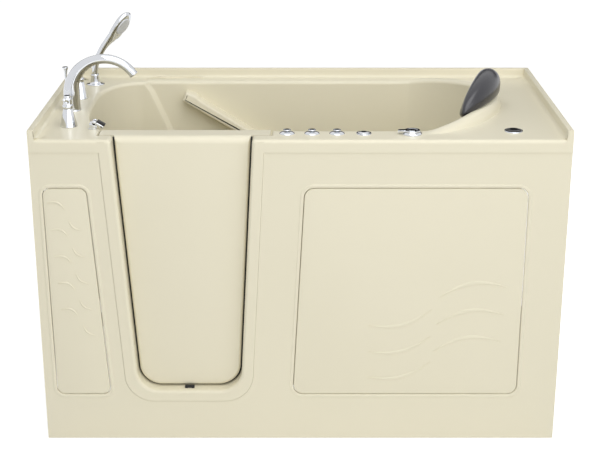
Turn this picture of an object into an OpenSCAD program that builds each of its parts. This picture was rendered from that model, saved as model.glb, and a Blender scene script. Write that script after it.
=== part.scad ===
// Walk-in jetted bathtub: moulded shell on a steel frame, inward-opening
// front door, deck-mounted filler and controls, pump and blower under the seat.
// Millimetres. The origin is on the floor, under the middle of the tub.
// In the modules y runs from the front face of the tub towards its back.

/* [Tub] */
// Length of the tub along its front
tub_l = 1524; // [1500:1:1580]
// Depth of the tub from front to back
tub_w = 787; // [775:1:820]
// Height of the rim above the floor
tub_h = 966; // [950:1:1000]
// Height of the tile rim above the deck
rim_h = 30; // [20:1:40]
// Thickness of the tile rim
rim_t = 18; // [14:1:24]
// Thickness of the moulded shell
wall = 6; // [4:0.5:8]
// Depth of the front lip below the deck
lip_h = 36; // [30:1:45]

/* [Basin] */
// Height of the footwell floor
floor_z = 125; // [122:1:140]
// Height of the seat
seat_z = 560; // [545:1:580]
// Length of the footwell past the doorway, up to the seat
foot_past = 190; // [183:1:208]
// Inner face of the front wall, behind the tub's front
basin_front = 105; // [103:1:112]
// Width of the deck behind the basin
back_deck = 75; // [71:1:87]
// Width of the deck left of the basin
left_deck = 125; // [122:1:137]
// Width of the deck right of the basin
right_deck = 190; // [182:1:202]
// Length of the rounded head end
head_l = 215; // [205:1:225]
// Straight stretch in the middle of the head end
head_flat = 15; // [10:1:30]
// Height of the headrest collar above the deck
collar_h = 44; // [30:1:55]
// How far the left scoop stands out from the back wall
scoop_step = 14; // [8:1:20]
// Depth of the moulded arm ledge on the back wall
ledge_d = 52; // [35:1:60]

/* [Door] */
// Height of the door sill above the floor
sill_z = 160; // [154:1:174]
// Width of the front wall left of the doorway
door_wall = 231; // [224:1:239]
// Width of the doorway at the deck
door_w = 396; // [389:1:403]
// How far the doorway narrows on its left side
door_taper_l = 47; // [35:1:58]
// How far the doorway narrows on its right side
door_taper_r = 40; // [28:1:52]
// Corner radius of the doorway
door_r = 68; // [54:1:79]
// Gap round the door in its frame
door_gap = 5; // [4.5:0.5:6]
// How far the door face sits behind the tub's front
door_set = 33; // [30:1:36]
// Plane on which the door seal lands
jamb_y = 49; // [47:1:50]
// Inner face of the door
door_in = 114; // [112:1:115]
// Skin thickness of the door
door_skin = 5; // [3:0.5:6]
// Diameter of the hinge barrel
barrel_d = 14; // [12:0.5:15]
// Diameter of the hinge pin
pin_d = 6; // [5:0.5:7]

/* [Frame] */
// Height of the levelling feet
foot_h = 40; // [30:1:50]
// Side of the base tube
base_s = 38; // [30:1:38]
// Side of the post tube
post_s = 25; // [20:1:25]

/* [Water] */
// Height of the back jets
jet_z = 690; // [680:1:700]
// Height of the jet manifold
manifold_z = 650; // [640:1:654]
// Height of the pump shaft
pump_z = 190; // [185:1:200]
// Bore of the drain
drain_bore = 36; // [30:1:38]

/* [Fittings] */
// Height of the spout's highest point above the deck
spout_rise = 157; // [140:1:170]
// Radius of the spout's bow
spout_r = 103; // [95:1:108]
// Diameter of the small deck controls
control_d = 44; // [38:1:48]
// Spacing of the three small knobs
knob_pitch = 71; // [66:1:76]
// Travel of the push buttons
button_travel = 2.5; // [2:0.1:2.8]

/* [Hidden] */
$fn = 48;
deck_z = tub_h - rim_h;
lip_z = deck_z - lip_h;
half_l = tub_l / 2;
basin_left = left_deck - half_l;
basin_right = half_l - right_deck;
basin_back = tub_w - back_deck;
door_left = door_wall - half_l;
door_right = door_left + door_w;
seat_x = door_right + foot_past;
head_w = (basin_back - basin_front - head_flat) / 2;
slip = 0.05;
seat_gap = 0.3;
apron_y = 2;
apron_t = 6;
apron_back = apron_y + apron_t;
post_y = tub_w - wall - post_s;
rail_z = deck_z - wall - post_s;
base_top = foot_h + base_s;
frame_x = half_l - wall;
arc_n = 12;

ACRYLIC = "#e6dfc8";
CHROME = "#c9ccd1";
STEEL = "#9aa0a6";
BLACK = "#1c1c20";
PIPE = "#eceae4";
BRASS = "#b89a55";

// Doorway side lines: distance from the tub's middle at a height
function door_fall(z) = (deck_z - z) / (deck_z - sill_z - door_r + 21);
function door_lx(z) = door_left + door_taper_l * door_fall(z);
function door_rx(z) = door_right - door_taper_r * door_fall(z);

// Doorway outline grown by gl, gr and gb on its left, right and bottom sides
function door_line(gl, gr, gb, top) =
  let (b = sill_z - gb, r = door_r + (gl + gr) / 4, zc = b + r, zt = min(top, deck_z),
       over = top > deck_z ? [top] : [])
  concat(
    [for (z = over) [door_lx(deck_z) - gl, z]],
    [for (z = [zt, zc]) [door_lx(z) - gl, z]],
    [for (i = [1:arc_n]) let (a = 180 + 90 * i / arc_n)
      [door_lx(zc) - gl + r + r * cos(a), zc + r * sin(a)]],
    [for (i = [0:arc_n - 1]) let (a = 270 + 90 * i / arc_n)
      [door_rx(zc) + gr - r + r * cos(a), zc + r * sin(a)]],
    [for (z = [zc, zt]) [door_rx(z) + gr, z]],
    [for (z = over) [door_rx(deck_z) + gr, z]]);

// Convex outline with round corners, grown outwards by d
function norm2(v) = v / norm(v);
function round_corner(a, b, c, r, d) =
  let (u = norm2(a - b), w = norm2(c - b), h = acos(u * w) / 2, m = norm2(u + w),
       p = b - m * d / sin(h), q = r + d, o = p + m * q / sin(h),
       s = p + u * q / tan(h) - o, a0 = atan2(s[1], s[0]), t = 180 - 2 * h)
  [for (i = [0:6]) o + q * [cos(a0 + t * i / 6), sin(a0 + t * i / 6)]];
function round_line(p, r, d) =
  let (n = len(p)) [for (i = [0:n - 1]) each round_corner(p[(i + n - 1) % n], p[i], p[(i + 1) % n], r, d)];

// Basin outline: straight sides with a swept curve at each corner
function spow(v, p) = sign(v) * pow(abs(v), p);
function sweep_corner(o, rx, ry, a0, e) =
  [for (i = [0:arc_n]) let (a = a0 + 90 * i / arc_n)
    [o[0] + rx * spow(cos(a), 2 / e), o[1] + ry * spow(sin(a), 2 / e)]];
function basin_line(x0, x1, y0, y1, fr, br, bl, fl, e) = concat(
  sweep_corner([x1 - fr[0], y0 + fr[1]], fr[0], fr[1], 270, e),
  sweep_corner([x1 - br[0], y1 - br[1]], br[0], br[1], 0, e),
  sweep_corner([x0 + bl[0], y1 - bl[1]], bl[0], bl[1], 90, 2),
  sweep_corner([x0 + fl[0], y0 + fl[1]], fl[0], fl[1], 180, 2));
function at_z(line, z) = [for (p = line) [p[0], p[1], z]];
function grown(r, g) = [r[0] + g, r[1] + g];

// Upper basin at height z, with its walls moved out by g
function upper_ring(z, draft_l, draft_r, in_y, g, cut) = let (e = 1.5) at_z(basin_line(
  basin_left + draft_l - g, basin_right - draft_r + g, basin_front + in_y - g, basin_back - in_y + g,
  grown([head_l - cut, head_w - cut], g), grown([head_l - cut, head_w - cut], g),
  grown([138 - cut, 203 - cut], g), grown([95 - cut / 2, 290 - cut], g), e), z);
function upper_rings(g) = [
  upper_ring(seat_z - g, 67, 102, 25, g, 60),
  upper_ring(seat_z + 2, 45, 84, 8, g, 45),
  upper_ring(seat_z + 15, 35, 72, 0, g, 40),
  upper_ring(seat_z + 60, 29, 57, 0, g, 36),
  upper_ring(deck_z - 176, 15, 27, 0, g, 18),
  upper_ring(deck_z, 0, 0, 0, g, 0),
  upper_ring(deck_z + collar_h + 40, -3, -12, 0, g, 0)];

// Footwell at height z
function foot_ring(z, draft, in_x, in_y, g, r) = at_z(basin_line(
  basin_left + draft - g, seat_x - in_x + g, basin_front + 1 + in_y - g, basin_back - draft / 2 - in_y + g,
  grown([r, r], g), grown([r, r], g), grown([110, 170], g), grown([85, 230], g), 2), z);
function foot_rings(g) = [
  foot_ring(floor_z - g, 86, 24, 20, g, 40),
  foot_ring(floor_z + 6, 70, 8, 8, g, 50),
  foot_ring(floor_z + 24, 62, 0, 0, g, 56),
  foot_ring(seat_z, 36.5, 0, 0, g, 56),
  foot_ring(seat_z + 75 - g, 30, 0, 0, g, 56)];

// Headrest collar: rises towards the right end of the basin
collar_x = basin_right - head_l;
collar_mid = (basin_front + basin_back) / 2;
function collar_rise(x) = collar_h * (x - collar_x) / (basin_right + 11 - collar_x);
collar_out = 43;
collar_half = head_w - 6;
function collar_ring(d, s, g) = let (c = [head_l + collar_out - d, collar_half - 2 - d]) [for (p = basin_line(
    collar_x - 12, basin_right + collar_out - d + g, collar_mid - collar_half + d - g,
    collar_mid + collar_half - d + g, c, c, [8, 8], [8, 8], 2))
  [p[0], p[1], deck_z + g + s * collar_rise(p[0])]];
collar_steps = [[0, 0.01], [5, 0.35], [11, 0.65], [20, 0.87], [32, 0.97], [45, 1]];
function collar_rings(g) = concat(
  [at_z(collar_ring(0, 0, g), deck_z - wall / 2)],
  [for (s = collar_steps) collar_ring(s[0], s[1], g)]);

// Closed solid through a stack of outlines
module loft(rings) {
  n = len(rings[0]);
  m = len(rings);
  sides = [for (k = [0:m - 2], i = [0:n - 1]) let (a = k * n + i, b = k * n + (i + 1) % n)
    each [[a, a + n, b], [b, a + n, b + n]]];
  polyhedron([for (r = rings) each r],
    concat([[for (i = [0:n - 1]) i]], sides, [[for (i = [n - 1:-1:0]) (m - 1) * n + i]]));
}

// Moves a module from the tub's front face into the part's frame
module at_front() {
  translate([0, -tub_w / 2, 0]) children();
}

// Block between two corners
module block(a, b) {
  translate(a) cube(b - a);
}

// Upright slab: an outline in the front plane, from depth y0 to y1
module slab(line, y0, y1) {
  translate([0, y1, 0]) rotate([90, 0, 0]) linear_extrude(y1 - y0) polygon(line);
}

// Round bars along the three axes, from one coordinate to another
module bar_x(x0, x1, y, z, r) {
  translate([x0, y, z]) rotate([0, 90, 0]) cylinder(h = x1 - x0, r = r);
}
module bar_y(y0, y1, x, z, r) {
  translate([x, y1, z]) rotate([90, 0, 0]) cylinder(h = y1 - y0, r = r);
}
module bar_z(z0, z1, x, y, r) {
  translate([x, y, z0]) cylinder(h = z1 - z0, r = r);
}

// Places of the deck fittings, from the tub's front face
knob_at = [for (i = [0:2]) [door_right + 97 + knob_pitch * i, 73]];
blower_at = [door_right + 315, 70];
drain_lever_at = [door_right + 452, 66];
pump_at = [half_l - 153, 97];
front_valve_at = [92 - half_l, 151];
rear_valve_at = [73 - half_l, 483];
spout_at = [72 - half_l, 335];
diverter_at = [52 - half_l, 366];
cradle_at = [93 - half_l, tub_w - 116];
drain_at = [basin_left + 337, 420];
overflow_at = [drain_at[0], 700];
suction_y = 230;
jet_pitch = (basin_right - 272 - drain_at[0]) / 4;
jet_xs = [for (i = [1:4]) drain_at[0] + jet_pitch * i];
seat_len = basin_right - seat_x;
air_pitch = seat_len / 9.4;
air_xs = [for (i = [0:3]) seat_x + seat_len / 2 - 20 + air_pitch * (i - 1.5)];
air_ys = [270, 540];
waste_y = tub_w - 52;
stud_r = 7.7;
stud_hole = 8;
big_hole = 14;
jet_hole = 22;
air_hole = 5;
drain_hole = drain_bore / 2 + 4;
overflow_hole = 13.5;
suction_hole = 20;

// Door sizes
flange_l = 39;
flange_r = 50;
flange_b = 20;
flange_t = 6;
pocket_gap = 6;
pocket_y = 170;
seal_y = jamb_y + seat_gap;
flange_y = jamb_y + 5;
liner_y = flange_y + flange_t;
band_l = 38;
band_r = 35;
band_b = 35;
hinge_x = door_right + flange_r + 5;
hinge_y = door_in + 6;
hinge_zs = [sill_z + 140, deck_z - 196];
knuckle_h = 30;
leaf_t = 3;

// Deck, rim, lip and basin in one moulding, with the door frame moulded in
module door_pocket(g) {
  slab(door_line(flange_l + pocket_gap + g, flange_r + pocket_gap + g, flange_b + pocket_gap + g,
    deck_z + (g > 0 ? -wall : 50)), jamb_y - g, g > 0 ? basin_front + 20 : pocket_y);
}
module door_surround() {
  slab(door_line(band_l, band_r, band_b, deck_z - 1), 0, jamb_y + 1);
}
module scoop_face() {
  translate([basin_left, 0, 0])
    slab([[0, seat_z - 5], [307, seat_z - 5], [203, deck_z - 157], [134, deck_z], [0, deck_z]],
      basin_back - scoop_step, basin_back + 2);
}
module arm_ledge() {
  translate([basin_left, 0, jet_z])
    slab([[250, 192], [411, 94], [547, 16], [575, 10], [575, 22], [477, 88], [309, 194],
      [299, 206], [263, 219]],
      basin_back - ledge_d, basin_back + 2);
}
module rim() {
  block([-half_l, 0, lip_z], [half_l, tub_w, deck_z]);
  difference() {
    block([-half_l, 0, deck_z], [half_l, tub_w, tub_h]);
    block([-half_l + rim_t, -1, deck_z], [half_l - rim_t, tub_w - rim_t, tub_h + 1]);
  }
}
module deck_holes() {
  for (p = concat(knob_at, [blower_at, drain_lever_at, pump_at, diverter_at]))
    bar_z(deck_z - wall - 1, deck_z + 1, p[0], p[1], stud_hole);
  for (p = [front_valve_at, rear_valve_at, spout_at, cradle_at])
    bar_z(deck_z - wall - 1, deck_z + 1, p[0], p[1], big_hole);
}
module basin_holes() {
  for (x = jet_xs) bar_y(basin_back - 1, basin_back + wall + 1, x, jet_z, jet_hole);
  for (x = air_xs, y = air_ys) bar_z(seat_z - wall - 1, seat_z + 1, x, y, air_hole);
  bar_z(floor_z - wall - 1, floor_z + 1, drain_at[0], drain_at[1], drain_hole);
  bar_y(basin_back - 1, basin_back + wall + 1, overflow_at[0], overflow_at[1], overflow_hole);
  bar_x(seat_x - 1, seat_x + wall + 1, suction_y, pump_z, suction_hole);
}
module tub_shell() color(ACRYLIC) at_front() {
  difference() {
    union() {
      difference() {
        rim();
        block([-half_l + wall, wall, lip_z - 1], [half_l - wall, tub_w - wall, deck_z - wall]);
      }
      difference() {
        union() {
          loft(upper_rings(wall));
          loft(foot_rings(wall));
        }
        block([-half_l, 0, deck_z - 1], [half_l, tub_w, tub_h + 100]);
      }
      loft(collar_rings(0));
      door_surround();
      door_pocket(wall);
    }
    difference() {
      union() {
        loft(upper_rings(0));
        loft(foot_rings(0));
      }
      scoop_face();
      arm_ledge();
    }
    slab(door_line(0, 0, 0, tub_h + 50), -1, jamb_y + 2);
    door_pocket(0);
    deck_holes();
    basin_holes();
  }
}

// Front skirt with its two panel openings
panel_gap = 1.5;
panel_low = 150;
panel_high = lip_z - 106;
left_panel_line = [[38 - half_l, panel_low], [door_left - 35, panel_low], [door_left - 76, panel_high],
  [32 - half_l, panel_high]];
right_panel_line = [[door_right + 113, panel_low], [half_l - 118, panel_low], [half_l - 117, panel_high],
  [door_right + 148, panel_high]];
left_r = 22;
right_r = 28;
module panel_border(line, r) {
  difference() {
    slab(round_line(line, r, 12), apron_y - 1, apron_y + 1);
    slab(round_line(line, r, panel_gap + 2), apron_y - 2, apron_y + 2);
  }
}
module front_apron() color(ACRYLIC) at_front() {
  difference() {
    union() {
      block([-half_l, apron_y, 2], [half_l, apron_back, lip_z - 2]);
      for (s = [-1, 1])
        block([s * half_l - (s > 0 ? wall : 0), apron_y, 2], [s * half_l + (s > 0 ? 0 : wall), 50, lip_z - 2]);
      panel_border(left_panel_line, left_r);
      panel_border(right_panel_line, right_r);
    }
    slab(round_line(left_panel_line, left_r, panel_gap), -1, apron_back + 1);
    slab(round_line(right_panel_line, right_r, panel_gap), -1, apron_back + 1);
    slab(door_line(band_l + 1, band_r + 1, band_b + 1, deck_z), -1, apron_back + 1);
  }
}

// Raised stroke: a crescent between two arcs, turned by a and placed at p
function stroke_line(len, rise, fat, up) = let (n = 10) concat(
  [for (i = [0:n]) [len * (i / n - 0.5), up * rise * sin(180 * i / n)]],
  [for (i = [n - 1:-1:1]) [len * (i / n - 0.5), up * (rise - fat) * sin(180 * i / n)]]);
module stroke(p, len, rise, fat, up, a) {
  translate([p[0], apron_y + 0.5, p[1]]) rotate([0, a, 0]) slab(stroke_line(len, rise, fat, up), -1.5, 0.5);
}
// Height of stroke i of n + 1, spread between a top and a bottom margin
function stroke_z(top, low, i, n) = panel_high - top - (panel_high - top - panel_low - low) * i / n;
module left_access_panel() color(ACRYLIC) at_front() {
  slab(round_line(left_panel_line, left_r, 0), apron_y, apron_back);
  for (i = [0:4]) {
    stroke([68 - half_l + 5 * i, stroke_z(52, 264, i, 4)], 52, 14, 7, 1, 22);
    stroke([119 - half_l + 6 * i, stroke_z(110, 206, i, 4)], 46, 12, 6, -1, 40);
  }
}
module right_access_panel() color(ACRYLIC) at_front() {
  slab(round_line(right_panel_line, right_r, 0), apron_y, apron_back);
  for (i = [0:2]) {
    stroke([half_l - 259 - 6 * i, stroke_z(316, 156, i, 2)], 200, 34, 13, 1, -9);
    stroke([door_right + 425, stroke_z(396, 80, i, 2)], 195, 32, 12, -1, -15);
  }
}
catch_t = 4;
catch_half = 11;
module panel_catch(x, w) {
  for (z = [panel_low, panel_high])
    block([x - w, apron_back, z - catch_half], [x + w, apron_back + catch_t, z + catch_half]);
}
module panel_catches() color(STEEL) at_front() {
  for (x = [72, 122]) panel_catch(x - half_l, 10);
  for (x = [door_right + 195, door_right + 445, half_l - 202]) panel_catch(x, 12);
}

// Steel frame: base tubes, posts, deck rails and seat frame, with narrow weld gaps
weld = 0.2;
cross_xs = [basin_left + 157, drain_at[0] + 100, seat_x - 35, air_xs[0] - 59, air_xs[3] + 66, half_l - 122];
foot_xs = [-frame_x + 30, seat_x - 115, frame_x - 30];
foot_ys = [apron_back + base_s / 2, tub_w - wall - base_s / 2];
base_back = tub_w - wall - base_s;
stud_d = 12;
module base_frame() color(STEEL) at_front() {
  difference() {
    for (y = [apron_back, base_back])
      block([-frame_x, y, foot_h], [frame_x, y + base_s, base_top]);
    for (x = foot_xs, y = foot_ys) bar_z(foot_h - 1, foot_h + 20, x, y, stud_d / 2 + 0.2);
  }
  for (x = concat([-frame_x], [for (c = cross_xs) c - base_s / 2], [frame_x - base_s]))
    block([x, apron_back + base_s + weld, foot_h], [x + base_s, base_back - weld, base_top]);
}
door_posts = [door_left - 83, door_right + 65];
front_posts = [-frame_x, door_posts[0], door_posts[1], frame_x - post_s];
back_posts = [-frame_x, -post_s / 2, frame_x - post_s];
module upper_frame() color(STEEL) at_front() {
  for (x = front_posts)
    block([x, apron_back, base_top + weld], [x + post_s, apron_back + post_s, rail_z - weld]);
  for (x = back_posts)
    block([x, post_y, base_top + weld], [x + post_s, post_y + post_s, rail_z - weld]);
  block([-frame_x, apron_back, rail_z], [door_posts[0] + post_s, apron_back + post_s, deck_z - wall]);
  block([door_posts[1], apron_back, rail_z], [frame_x, apron_back + post_s, deck_z - wall]);
  block([-frame_x, post_y, rail_z], [frame_x, post_y + post_s, deck_z - wall]);
  for (x = [-frame_x, frame_x - post_s])
    block([x, apron_back + post_s + weld, rail_z], [x + post_s, post_y - weld, deck_z - wall]);
}
seat_rail_front = 60;
seat_rail_back = tub_w - 47;
module seat_frame() color(STEEL) at_front() {
  for (x = [cross_xs[3], cross_xs[4]]) {
    block([x - post_s / 2, seat_rail_front, seat_z - wall - post_s],
      [x + post_s / 2, seat_rail_back, seat_z - wall]);
    for (y = [seat_rail_front, seat_rail_back - post_s])
      block([x - post_s / 2, y, base_top + weld], [x + post_s / 2, y + post_s, seat_z - wall - post_s - weld]);
  }
}
module basin_bearers() color("#c8a877") at_front() {
  for (x = [cross_xs[0], cross_xs[1], cross_xs[2]])
    block([x - base_s / 2, basin_front + 55, base_top], [x + base_s / 2, basin_back - 92, floor_z - wall]);
}
module levelling_feet() color(BLACK) at_front() {
  for (x = foot_xs, y = foot_ys) {
    bar_z(0, 8, x, y, 17);
    bar_z(4, foot_h + 18, x, y, stud_d / 2);
    bar_z(foot_h - 8, foot_h, x, y, 10);
  }
}
tray_t = 3;
tray_z = base_top + tray_t;
module equipment_tray() color(STEEL) at_front() {
  block([cross_xs[3] - base_s / 2, 90, base_top], [frame_x, tub_w - 77, tray_z]);
}

// Door: outer skin with the sealing flange, inner liner, seal and hinges
module door_outer_panel() color(ACRYLIC) at_front() {
  difference() {
    union() {
      slab(door_line(-door_gap, -door_gap, -door_gap, deck_z), door_set, flange_y);
      slab(door_line(flange_l, flange_r, flange_b, deck_z), flange_y, liner_y);
    }
    slab(door_line(-door_gap - door_skin, -door_gap - door_skin, -door_gap - door_skin, deck_z - door_skin),
      door_set + door_skin, liner_y + 1);
  }
}
module door_inner_panel() color(ACRYLIC) at_front() {
  difference() {
    slab(door_line(flange_l, flange_r, flange_b, deck_z), liner_y, door_in);
    slab(door_line(flange_l - door_skin, flange_r - door_skin, flange_b - door_skin, deck_z - door_skin),
      liner_y - 1, door_in - door_skin);
  }
}
module door_seal() color(BLACK) at_front() {
  difference() {
    slab(door_line(flange_l - 4, flange_r - 8, flange_b - 4, deck_z - 6), seal_y, flange_y);
    slab(door_line(flange_l - 18, flange_r - 22, flange_b - 18, deck_z), seal_y - 1, flange_y + 1);
  }
}
rest_x = door_right - 211;
rest_w = 28;
rest_tab = 8;
module door_rest_block() color(BLACK) at_front() {
  block([rest_x, door_set - 12, sill_z], [rest_x + rest_w, door_set - 0.5, sill_z + 5]);
  for (x = [rest_x, rest_x + rest_w - rest_tab])
    block([x, door_set - 14, sill_z], [x + rest_tab, door_set - 12, sill_z + 3]);
}
module knuckle(z0, z1) {
  difference() {
    bar_z(z0, z1, hinge_x, hinge_y, barrel_d / 2);
    bar_z(z0 - 1, z1 + 1, hinge_x, hinge_y, pin_d / 2 + slip);
  }
}
module frame_leaf(z0, z1) {
  y = z1 < seat_z ? basin_front + 1 : basin_front;
  difference() {
    translate([0, 0, z0]) linear_extrude(z1 - z0) polygon([
      [hinge_x, hinge_y - leaf_t], [hinge_x + 14, hinge_y - leaf_t], [hinge_x + 14, y],
      [hinge_x + 54, y], [hinge_x + 54, y + leaf_t],
      [hinge_x + 20, y + leaf_t], [hinge_x + 20, hinge_y + leaf_t], [hinge_x, hinge_y + leaf_t]]);
    bar_z(z0 - 1, z1 + 1, hinge_x, hinge_y, barrel_d / 2 - 1);
  }
}
module hinge_frame_leaves() color(STEEL) at_front() {
  for (z = hinge_zs, k = [-1, 1]) {
    z0 = z + k * knuckle_h - knuckle_h / 2 + seat_gap;
    z1 = z + k * knuckle_h + knuckle_h / 2 - seat_gap;
    knuckle(z0, z1);
    frame_leaf(z0, z1);
  }
}
module hinge_door_leaves() color(STEEL) at_front() {
  for (z = hinge_zs) {
    knuckle(z - knuckle_h / 2, z + knuckle_h / 2);
    difference() {
      block([hinge_x - 52, door_in, z - knuckle_h / 2], [hinge_x, door_in + leaf_t, z + knuckle_h / 2]);
      bar_z(z - knuckle_h, z + knuckle_h, hinge_x, hinge_y, barrel_d / 2 - 1);
    }
  }
}
module hinge_pins() color(CHROME) at_front() {
  for (z = hinge_zs) {
    bar_z(z - knuckle_h * 1.5, z + knuckle_h * 1.5, hinge_x, hinge_y, pin_d / 2);
    bar_z(z + knuckle_h * 1.5, z + knuckle_h * 1.5 + 3, hinge_x, hinge_y, barrel_d / 2);
  }
}

// Door latch: a lever that drops behind the door's inner face
latch_x = door_lx(deck_z) - flange_l - 21;
latch_z = deck_z + 19.5;
latch_y0 = door_in + 2;
latch_y1 = latch_y0 + 14;
latch_tilt = 30;
latch_len = 29;
ear_t = 3.5;
module latch_bracket() color(CHROME) at_front() {
  block([latch_x - 26, latch_y0 - 4, deck_z], [latch_x - 2, latch_y1 + 4, deck_z + 3]);
  difference() {
    for (y = [latch_y0 - ear_t - seat_gap, latch_y1 + seat_gap]) {
      block([latch_x - 14, y, deck_z], [latch_x + 4, y + ear_t, latch_z]);
      bar_y(y, y + ear_t, latch_x, latch_z, 7);
    }
    bar_y(latch_y0 - 10, latch_y1 + 10, latch_x, latch_z, 2.5 + slip);
  }
}
module latch_arm(r0, r1, n0, n1, y0, y1) {
  translate([latch_x, 0, latch_z]) rotate([0, latch_tilt, 0]) block([r0, y0, n0], [r1, y1, n1]);
}
module latch_lever() color(CHROME) at_front() {
  bar_y(latch_y0, latch_y1, latch_x, latch_z, 6);
  bar_y(latch_y0 - ear_t - 0.8, latch_y1 + ear_t + 0.8, latch_x, latch_z, 2.5);
  latch_arm(0, latch_len, -3.5, 3.5, latch_y0, latch_y1);
}
module latch_grip() color(BLACK) at_front() {
  latch_arm(5.2, latch_len + 1, 3.5, 11.5, latch_y0 + 1, latch_y1 - 1);
}

// Headrest pillow: hooks over the collar from its near side past its crown, with pointed ends
pillow_mid = -13;
pillow_sweep = 42;
pillow_n = 9;
pillow_section = [[30, -14], [42, 8], [43, 28], [34, 50], [14, 66], [-9, 70], [-32, 60], [-46, 34],
  [-58, 6], [-66, -22], [-64, -44], [-48, -56], [-10, -58], [16, -40]];
function pillow_ring(t) =
  let (f = pillow_mid + pillow_sweep * t, c = pow(cos(f), 4 / 3), s = spow(sin(f), 4 / 3),
       x = collar_x + (head_l + 4) * c, y = collar_mid + (head_w + 1) * s,
       turn = atan2(sign(s) * sqrt(abs(s)) / (head_w + 1), sqrt(c) / head_l),
       k = max(0.05, pow(1 - t * t, 0.62)))
  [for (p = pillow_section)
    [x + p[0] * k * cos(turn), y + p[0] * k * sin(turn), deck_z + collar_rise(x) + p[1] * k + 1]];
module collar_solid(g) {
  difference() {
    union() {
      loft(collar_rings(g));
      block([collar_x - 60, 60, deck_z - 236], [half_l - 60, tub_w - 27, deck_z + g]);
    }
    loft(upper_rings(-g));
  }
}
module headrest_pillow() color("#2c2c32") at_front() {
  difference() {
    loft([for (i = [-pillow_n:pillow_n]) pillow_ring(i / pillow_n)]);
    collar_solid(seat_gap);
  }
}

// Filler: two lever valves, a bowed spout, a diverter and a hand shower
valve_top = 53;
valve_stem = 7.9;
lever_rise = 19.5;
hub_profile = [[0, 0], [13.5, 0], [15.5, 5], [15.5, 9], [12.5, 13], [12.5, 27], [10, 33], [10, 37], [0, 38]];
module valve_escutcheons() color(CHROME) at_front() {
  for (p = [front_valve_at, rear_valve_at])
    translate([p[0], p[1], deck_z]) difference() {
      rotate_extrude() polygon([[0, 0], [25, 0], [25, 1.5], [13.5, valve_top], [0, valve_top]]);
      bar_z(-1, valve_top + 1, 0, 0, valve_stem + slip);
    }
}
module valve_handle(p, side) {
  translate([p[0], p[1], deck_z + valve_top + seat_gap]) {
    rotate_extrude() polygon(hub_profile);
    translate([0, 0, 18]) rotate([side * (90 - lever_rise), 0, 0]) {
      translate([0, 0, 8]) cylinder(h = 48, r1 = 6.5, r2 = 4.5);
      translate([0, 0, 56]) sphere(r = 4.5);
    }
    bar_z(-60, 1, 0, 0, valve_stem);
  }
}
module front_valve_handle() color(CHROME) at_front() {
  valve_handle(front_valve_at, 1);
}
module rear_valve_handle() color(CHROME) at_front() {
  valve_handle(rear_valve_at, -1);
}
spout_z = deck_z + spout_rise + 0.5 - spout_r;
function spout_radius(i) = 24 - 9.5 * min(1, i / 9) - 1.2 * max(0, i - 9) / 9;
spout_n = 18;
spout_turn = 146;
spout_sides = 20;
function spout_ring(i) =
  let (a = 180 - spout_turn * i / spout_n, r = spout_radius(i))
  [for (j = [0:spout_sides - 1]) let (b = 360 * j / spout_sides, q = spout_r + r * cos(b))
    [q * cos(a), -r * sin(b), q * sin(a)]];
module spout() color(CHROME) at_front() {
  translate([spout_at[0] + spout_r, spout_at[1], spout_z])
    loft([for (i = [0:spout_n]) spout_ring(i)]);
  translate([spout_at[0], spout_at[1], deck_z])
    rotate_extrude() polygon([[0, 0], [26.5, 0], [26.5, 1.5], [25.4, 4], [24.3, spout_z - deck_z + 0.5],
      [0, spout_z - deck_z + 0.5]]);
  bar_z(deck_z - 40, deck_z + 1, spout_at[0], spout_at[1], 13.5);
}
rod_r = 3;
module diverter_rod() color(CHROME) at_front() {
  bar_z(deck_z - 30, deck_z + 92, diverter_at[0], diverter_at[1], rod_r);
  translate([diverter_at[0], diverter_at[1], deck_z + 88])
    rotate_extrude() polygon([[0, 0], [3.3, 0], [3.8, 9], [6.6, 28], [9.4, 34], [9.6, 37], [8.6, 38], [0, 38]]);
}
module diverter_ferrule() {
  difference() {
    union() {
      bar_z(deck_z, deck_z + 5, diverter_at[0], diverter_at[1], 10);
      bar_z(deck_z - 60, deck_z + 1, diverter_at[0], diverter_at[1], stud_r);
      bar_z(deck_z - 60, deck_z - 20, diverter_at[0], diverter_at[1], 11);
    }
    bar_z(deck_z - 50, deck_z + 6, diverter_at[0], diverter_at[1], rod_r + slip);
  }
}
module diverter_body() color(BRASS) at_front() {
  diverter_ferrule();
}
cradle_top = 34;
stem_r = 9.9;
module shower_cradle() color(CHROME) at_front() {
  translate([cradle_at[0], cradle_at[1], deck_z]) difference() {
    union() {
      rotate_extrude() polygon([[0, 0], [30, 0], [30, 2.5], [27, 4], [17, 6.5], [15.5, 10], [12.9, cradle_top],
        [0, cradle_top]]);
      bar_z(-60, 1, 0, 0, 13.5);
    }
    bar_z(-50, cradle_top + 1, 0, 0, stem_r + slip);
  }
}
// Handset: a bar that bends from the cradle and widens into the spray head
head_lean = 35;
head_twist = 33;
head_root = [66, 0, 158];
face_at = 9.5;
face_t = 3.5;
function head_at(d) = head_root + d * [sin(head_lean), 0, cos(head_lean)];
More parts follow.
